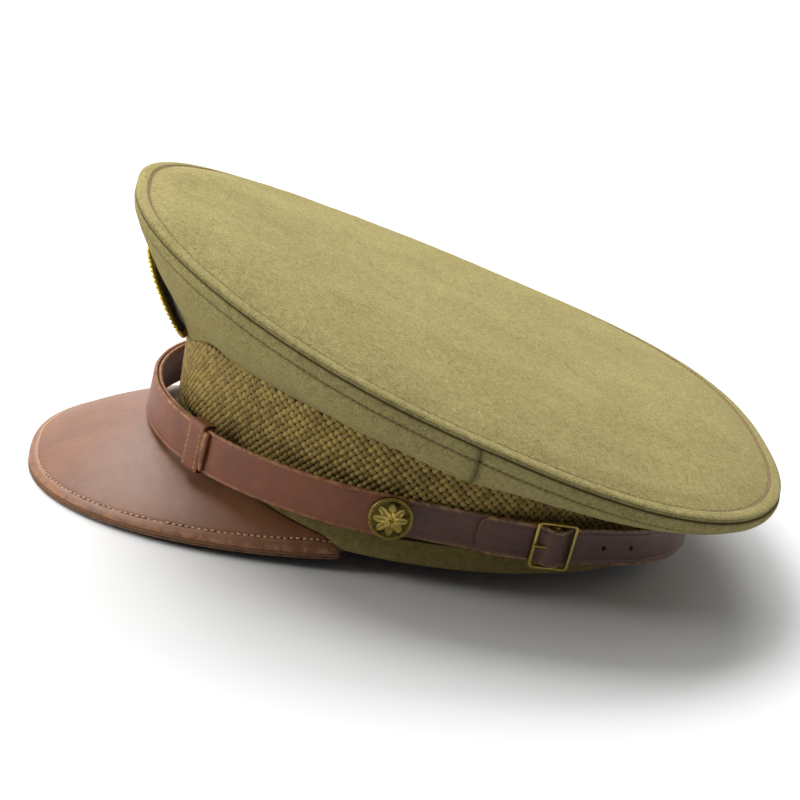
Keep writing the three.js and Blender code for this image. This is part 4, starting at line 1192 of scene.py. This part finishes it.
def long_strap_stations():
    """From the tail's tip through the buckle, over its middle bar, and round to the right button."""
    under = BUCKLE_LIFT - BUCKLE_WIRE / 2 - BUCKLE_GAP - NAPE_THICKNESS / 2
    bars = BUCKLE_LENGTH / 2 - BUCKLE_WIRE / 2
    arch = BUCKLE_WIRE / 2 + 2 * BUCKLE_GAP + 1.5 * NAPE_THICKNESS
    half = NAPE_WIDTH / 2
    tip = np.linspace(0, 1, 9)
    tip_half = TAIL_TIP + (half - TAIL_TIP) * np.sqrt(1 - (1 - tip) ** 2)
    tail = [(TAIL_END + 4 * t, under, h) for t, h in zip(tip, tip_half)]
    flat = [(at, under, half) for at in np.linspace(TAIL_END + 5, BUCKLE_AT - bars + 1.3, 16)]
    turn = np.radians(np.linspace(152, 28, 16))
    over = [(BUCKLE_AT + arch * math.cos(a), BUCKLE_LIFT + arch * math.sin(a), half) for a in turn]
    after = [(BUCKLE_AT + bars - 1.3, under, half), (BUCKLE_AT + bars + 1, under, half)]
    length = np.linspace(BUCKLE_AT + bars + 2, NAPE_LINE.total, 190)
    settle = under * (1 - smoothstep(length, BUCKLE_AT + bars + 1, BUCKLE_AT + 17))
    run = [(at, out, half) for at, out in zip(length, settle)]
    tab = tab_stations(NAPE_LINE.total, 1, NAPE_WIDTH)[::-1]
    return [*tail, *flat, *over, *after, *run, *tab]


def hole_cutter(line, length, radius):
    point, _, outward = line.at(length)
    mesh = bpy.data.meshes.new("hole_cutter")
    shape = bmesh.new()
    bmesh.ops.create_cone(
        shape, cap_ends=True, segments=20, radius1=radius * MM, radius2=radius * MM, depth=14 * MM
    )
    shape.to_mesh(mesh)
    shape.free()
    cutter = bpy.data.objects.new("hole_cutter", mesh)
    bpy.context.scene.collection.objects.link(cutter)
    turn = Vector(outward).to_track_quat("Z", "Y").to_matrix().to_4x4()
    cutter.matrix_world = Matrix.Translation(Vector((point + outward * 3) * MM)) @ turn
    return cutter


def punch(piece, cutters):
    """Cuts small round holes through a piece."""
    for cutter in cutters:
        cut = piece.modifiers.new("hole", "BOOLEAN")
        cut.object = cutter
        cut.solver = "EXACT"
    bpy.context.view_layer.update()
    graph = bpy.context.evaluated_depsgraph_get()
    made = bpy.data.meshes.new_from_object(piece.evaluated_get(graph))
    piece.modifiers.clear()
    piece.data = made
    for cutter in cutters:
        bpy.data.objects.remove(cutter)


def buckle_axes():
    """The buckle's centre and its axes: along the strap, up, and outward."""
    point, travel, outward = NAPE_LINE.at(BUCKLE_AT)
    return point + outward * BUCKLE_LIFT, travel, NAPE_LINE.up, outward


def make_buckle():
    """A rounded frame of soft-cornered wire, and its middle bar."""
    centre, travel, up, outward = buckle_axes()
    wire = BUCKLE_WIRE / 2
    turn = circle(14)
    section = wire * signed_power(coords(np.cos(turn), np.sin(turn)), 0.8)
    outline = rounded_outline(BUCKLE_LENGTH / 2 - wire, BUCKLE_HEIGHT / 2 - wire, 1.5)
    ahead = ring_step(outline)
    side = unit(coords(ahead[:, 1], -ahead[:, 0]))
    flat = outline[:, None, :] + side[:, None, :] * section[None, :, :1]
    loops = centre + flat[..., :1] * travel + flat[..., 1:] * up + section[None, :, 1:] * outward
    # The wire is dulled most on its side towards the strap.
    loft(
        "buckle_frame_wire", loops, BRASS, closed=True, body="buckle", stands_for=["buckle_frame"],
        slot="aged_brass", recess=0.3 * (1 - np.sin(turn)),
    )
    reach = BUCKLE_HEIGHT / 2 - wire
    heights = np.linspace(-reach, reach, 9)[:, None, None]
    ring = np.cos(turn)[:, None] * travel + np.sin(turn)[:, None] * outward
    bar = centre + heights * up + ring * (wire - 0.05)
    loft("buckle_middle_bar", bar, BRASS, body="buckle", slot="aged_brass")


def make_prong():
    """Tapered tongue: an eye round the middle bar and an arm hooked over the front bar."""
    centre, travel, up, outward = buckle_axes()
    eye = np.radians(np.linspace(-60, 200, 20))[:12]
    eye_path = 1.35 * coords(np.cos(eye), np.sin(eye))
    tip = -BUCKLE_LENGTH / 2 + 0.1
    arm_path = np.array([[-2.2, 1.5], [-4.0, 1.62], [-5.8, 1.6], [tip + 0.7, 1.5], [tip, 1.35]])
    path = np.concatenate([eye_path, arm_path])
    width = np.concatenate([np.full(len(eye), 0.62), np.linspace(0.62, 0.42, len(arm_path))])
    ahead = unit(np.gradient(path, axis=0))
    side = coords(-ahead[:, 1], ahead[:, 0])
    turn = circle(10)
    flat = path[:, None, :] + side[:, None, :] * (0.36 * np.sin(turn))[None, :, None]
    across = width[:, None] * np.cos(turn)
    loops = centre + flat[..., :1] * travel + flat[..., 1:] * outward + across[..., None] * up
    loft(
        "buckle_prong_tongue", loops, BRASS, body="prong", stands_for=["buckle_prong"], slot="aged_brass"
    )


def make_nape_strap():
    """Both parts of the strap; the long one is made last and its tail is punched."""
    ends = {"short": short_strap_stations(), "long": long_strap_stations()}
    for end, stations in ends.items():
        strap = strap_piece(
            f"nape_strap_{end}_leather", NAPE_LINE, stations, NAPE_WIDTH, NAPE_THICKNESS, NAPE_CREASE,
            NAPE_LEATHER, body="nape_strap", stands_for=[f"rear_strap_{end}"], slot="nape_leather",
        )
    punch(strap, [hole_cutter(NAPE_LINE, length, TAIL_HOLE_RADIUS) for length in TAIL_HOLES])
    make_buckle()
    make_prong()


# ---------- Buttons ----------


def button_height(radius, angle):
    """Height of the button's face (in mm above its back) and how sunk each point is."""
    share = radius / BUTTON_RADIUS
    body = 1.6 + 1.25 * (1 - share**2)
    rim = 0.25 * smoothstep(share, 0.94, 0.96) * (1 - smoothstep(share, 0.985, 1.0))
    petal_line = np.abs(np.cos(4 * angle))
    petal_gap = np.abs(np.sin(4 * angle))
    petal_edge = 0.5 + 0.3 * petal_line
    rosette = 0.3 * (1 - smoothstep(share, petal_edge - 0.07, petal_edge))
    vein = -0.2 * ridge(petal_gap, 0, 0.16) * smoothstep(share, 0.3, 0.45) * (rosette > 0.1)
    inner_edge = 0.26 + 0.2 * petal_gap
    boss = 0.3 * (1 - smoothstep(share, inner_edge - 0.07, inner_edge))
    boss = boss + 0.35 * (1 - smoothstep(share, 0.11, 0.16)) * (1 + 0.4 * np.cos(8 * angle))
    ring = 0.2 * ridge(share, 0.9, 0.03) * (1 + 0.5 * np.cos(44 * angle))
    height = body + rim + rosette + vein + boss + ring
    sunk = 1 - np.clip((rim + rosette + boss + ring) / 0.35, 0, 1)
    return height, sunk


def make_button(side, hand):
    """A domed face with a flower rosette, and its back and shank."""
    radii = np.concatenate([[0.02], np.linspace(0.2, BUTTON_RADIUS, 56)])
    turn = np.radians(np.arange(0, 360, 2.0))
    r, a = np.meshgrid(radii, turn, indexing="ij")
    height, sunk = button_height(r, a)
    height[-1] = BUTTON_EDGE
    shank = SHANK_END_X - BUTTON_FACE_X
    back_radii = np.array([BUTTON_RADIUS, BUTTON_RADIUS - 0.6, SHANK_RADIUS, SHANK_RADIUS, 0.02])
    back_heights = np.array([0.7, 0.0, 0.0, shank, shank])
    around = np.ones((len(back_radii), len(turn)))
    r = np.concatenate([r, back_radii[:, None] * around])
    height = np.concatenate([height, back_heights[:, None] * around])
    sunk = np.concatenate([sunk, 0.7 * around])
    x = hand * (BUTTON_FACE_X + height)
    points = coords(x, PIVOT[1] + r * np.cos(turn), PIVOT[2] + r * np.sin(turn))
    loft(
        f"button_{side}_brass", points, BRASS, capped=False, body=f"{side}_button",
        stands_for=[f"side_button_{side}"], slot="aged_brass", recess=sunk * 0.8,
    )


# ---------- Badge ----------


def badge_axes():
    lean = math.radians(BADGE_LEAN)
    up = np.array([0, -math.sin(lean), math.cos(lean)])
    outward = np.array([0, -math.cos(lean), -math.sin(lean)])
    return np.array([[1, 0, 0], up, outward])


def on_badge(points):
    return BADGE_CENTRE + points @ badge_axes()


def pillow(half_length, half_width, height, pointed=1.0):
    """A leaf or shield: a domed form over an outline along x, flat behind, with its faces."""
    along = np.linspace(-1, 1, 13)[:, None]
    turn = np.linspace(0, math.pi, 9)
    outline = np.clip(1 - along**2, 0, 1) ** (0.5 * pointed)
    y = half_width * outline * np.cos(turn)
    z = height * outline * np.sin(turn)
    return small_shape(coords(half_length * along, y, z))


def ball(radius):
    along = np.linspace(0.02, math.pi - 0.02, 9)[:, None]
    turn = circle(12)
    ring = np.sin(along)
    return small_shape(radius * coords(np.cos(along), ring * np.cos(turn), ring * np.sin(turn)))


def wreath_ring(name, count, margin_x, margin_y, shape, tilt, lift):
    """Copies of a shape set round an oval, each turned from the oval's line by the tilt."""
    turn = (np.arange(count) + 0.5) / count * 2 * math.pi
    across = (BADGE_HALF_WIDTH - margin_x) * np.cos(turn)
    along = (BADGE_HALF_HEIGHT - margin_y) * np.sin(turn)
    centres = coords(across, along, lift)
    heading = turn + np.sign(np.cos(turn)) * (math.pi / 2 - tilt)
    x_axis = coords(np.cos(heading), np.sin(heading), 0)
    y_axis = coords(-np.sin(heading), np.cos(heading), 0)
    axes = np.stack([x_axis, y_axis, coords(0 * heading, 0, 1)], axis=1) @ badge_axes()
    scatter(name, *shape, on_badge(centres), axes, GILT, slot="gilt_brass")


def make_badge():
    """A wreath of plain leaves and berries round a blank oval shield."""
    turn = np.radians(np.arange(0, 360, 5.0))
    across = (BADGE_HALF_WIDTH - BADGE_MARGIN) * np.cos(turn)
    along = (BADGE_HALF_HEIGHT - BADGE_MARGIN) * np.sin(turn)
    steps = [(0.0001, 0.0), (1.0, 0.0), (1.0, 0.55), (0.96, 0.8), (0.9, 0.8), (0.0001, 0.8)]
    plate = [coords(across * share, along * share, z) for share, z in steps]
    # The whole plate is dulled: patina behind the wreath, and painted shade on its back.
    loft(
        "badge_plate", on_badge(np.stack(plate)), GILT, capped=False, stands_for=["cap_badge"],
        slot="gilt_brass", recess=0.7,
    )
    leaf, leaf_faces = pillow(4.3, 1.9, 1.15, 1.3)
    wreath_ring("badge_leaves_outer", 26, BADGE_MARGIN, BADGE_MARGIN, (leaf, leaf_faces), 0.55, 0.6)
    wreath_ring("badge_leaves_inner", 22, 6.6, 6.0, (leaf * 0.8, leaf_faces), -0.5, 0.8)
    wreath_ring("badge_berries", 52, 1.15, 1.15, ball(0.85), 0.0, 0.9)
    shield = pillow(BADGE_HALF_HEIGHT * 0.6, BADGE_HALF_WIDTH * 0.48, 1.7)
    centre = on_badge(np.array([[0, 0, 0.7]]))
    axes = np.array([[[0, 1, 0], [-1, 0, 0], [0, 0, 1]]]) @ badge_axes()
    scatter("badge_shield", *shield, centre, axes, GILT, slot="gilt_brass")


# ---------- Camera, floor and light ----------

VIEW_TARGET = (0, 0, 46.35)
VIEW_TURN = -7  # degrees from the wearer's left towards the front
VIEW_HEIGHT = 18.27
VIEW_ROLL = 10.3
VIEW_DISTANCE = 927
VIEW_LENS = 103.8
VIEW_SHIFT = (-0.0489, -0.028)
FLOOR_REACH = 6
BACKDROP_LIGHT = 0.7
ROOM_LIGHT = 0.1


def make_camera():
    turn, height, roll = (math.radians(v) for v in (VIEW_TURN, VIEW_HEIGHT, VIEW_ROLL))
    back = Vector((math.cos(height) * math.cos(turn), math.cos(height) * math.sin(turn), math.sin(height)))
    level = (-back).cross(Vector((0, 0, 1))).normalized()
    upright = level.cross(-back)
    right = level * math.cos(roll) + upright * math.sin(roll)
    up = upright * math.cos(roll) - level * math.sin(roll)
    camera = bpy.data.objects.new("camera", bpy.data.cameras.new("camera"))
    camera.data.lens = VIEW_LENS
    camera.data.shift_x, camera.data.shift_y = VIEW_SHIFT
    camera.data.clip_end = 20
    place = Vector(VIEW_TARGET) * MM + back * VIEW_DISTANCE * MM
    camera.matrix_world = Matrix.Translation(place) @ Matrix((right, up, back)).transposed().to_4x4()
    bpy.context.scene.collection.objects.link(camera)
    bpy.context.scene.camera = camera


def make_floor():
    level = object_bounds()[0].z
    mesh = bpy.data.meshes.new("floor")
    corners = [(x * FLOOR_REACH, y * FLOOR_REACH, level) for x, y in ((-1, -1), (1, -1), (1, 1), (-1, 1))]
    mesh.from_pydata(corners, [], [(0, 1, 2, 3)])
    shader = Shader("pale_floor")
    shader.set(Base_Color=(0.62, 0.622, 0.625, 1), Roughness=0.8, Specular_IOR_Level=0.2)
    mesh.materials.append(shader.material)
    floor = bpy.data.objects.new("floor", mesh)
    bpy.context.scene.collection.objects.link(floor)


def add_area_light(name, place, aim, size, power, tint=(1, 1, 1)):
    light = bpy.data.lights.new(name, "AREA")
    light.shape = "DISK"
    light.size = size
    light.energy = power
    light.color = tint
    lamp = bpy.data.objects.new(name, light)
    turn = (Vector(aim) - Vector(place)).to_track_quat("-Z", "Y")
    lamp.matrix_world = Matrix.Translation(place) @ turn.to_matrix().to_4x4()
    bpy.context.scene.collection.objects.link(lamp)


def make_light():
    """A bright backdrop beyond the cap, a dim room behind the camera, and three soft lamps."""
    world = bpy.data.worlds.new("studio")
    world.use_nodes = True
    nodes, links = world.node_tree.nodes, world.node_tree.links
    sky = nodes["Background"]
    sky.inputs["Color"].default_value = (1, 1, 1, 1)
    direction = nodes.new("ShaderNodeTexCoord").outputs["Generated"]
    split = nodes.new("ShaderNodeSeparateXYZ")
    fade = nodes.new("ShaderNodeMapRange")
    fade.interpolation_type = "SMOOTHSTEP"
    for socket, level in zip(range(1, 5), (0.0, 0.7, BACKDROP_LIGHT, ROOM_LIGHT)):
        fade.inputs[socket].default_value = level
    links.new(direction, split.inputs[0])
    links.new(split.outputs["X"], fade.inputs[0])
    links.new(fade.outputs[0], sky.inputs["Strength"])
    bpy.context.scene.world = world
    add_area_light("overhead", (-0.38, -0.5, 1.3), (0, 0, 0.05), 0.9, 18.5)
    add_area_light("backdrop_wash", (-2.4, 0, 2.2), (-2.4, 0, 0), 2.5, 130)
    add_area_light("window", (0.25, -1.5, 0.6), (0, -0.1, 0.03), 0.6, 11, (1, 0.98, 0.95))
    bpy.context.scene.view_settings.view_transform = "Standard"


# ---------- Assembly ----------

make_camera()
make_braid()
make_welt()
make_sweatband()
make_crown()
make_visor()
make_chin_strap()
make_nape_strap()
make_button("left", 1)
make_button("right", -1)
make_badge()
paint_nodes()
make_floor()
make_light()
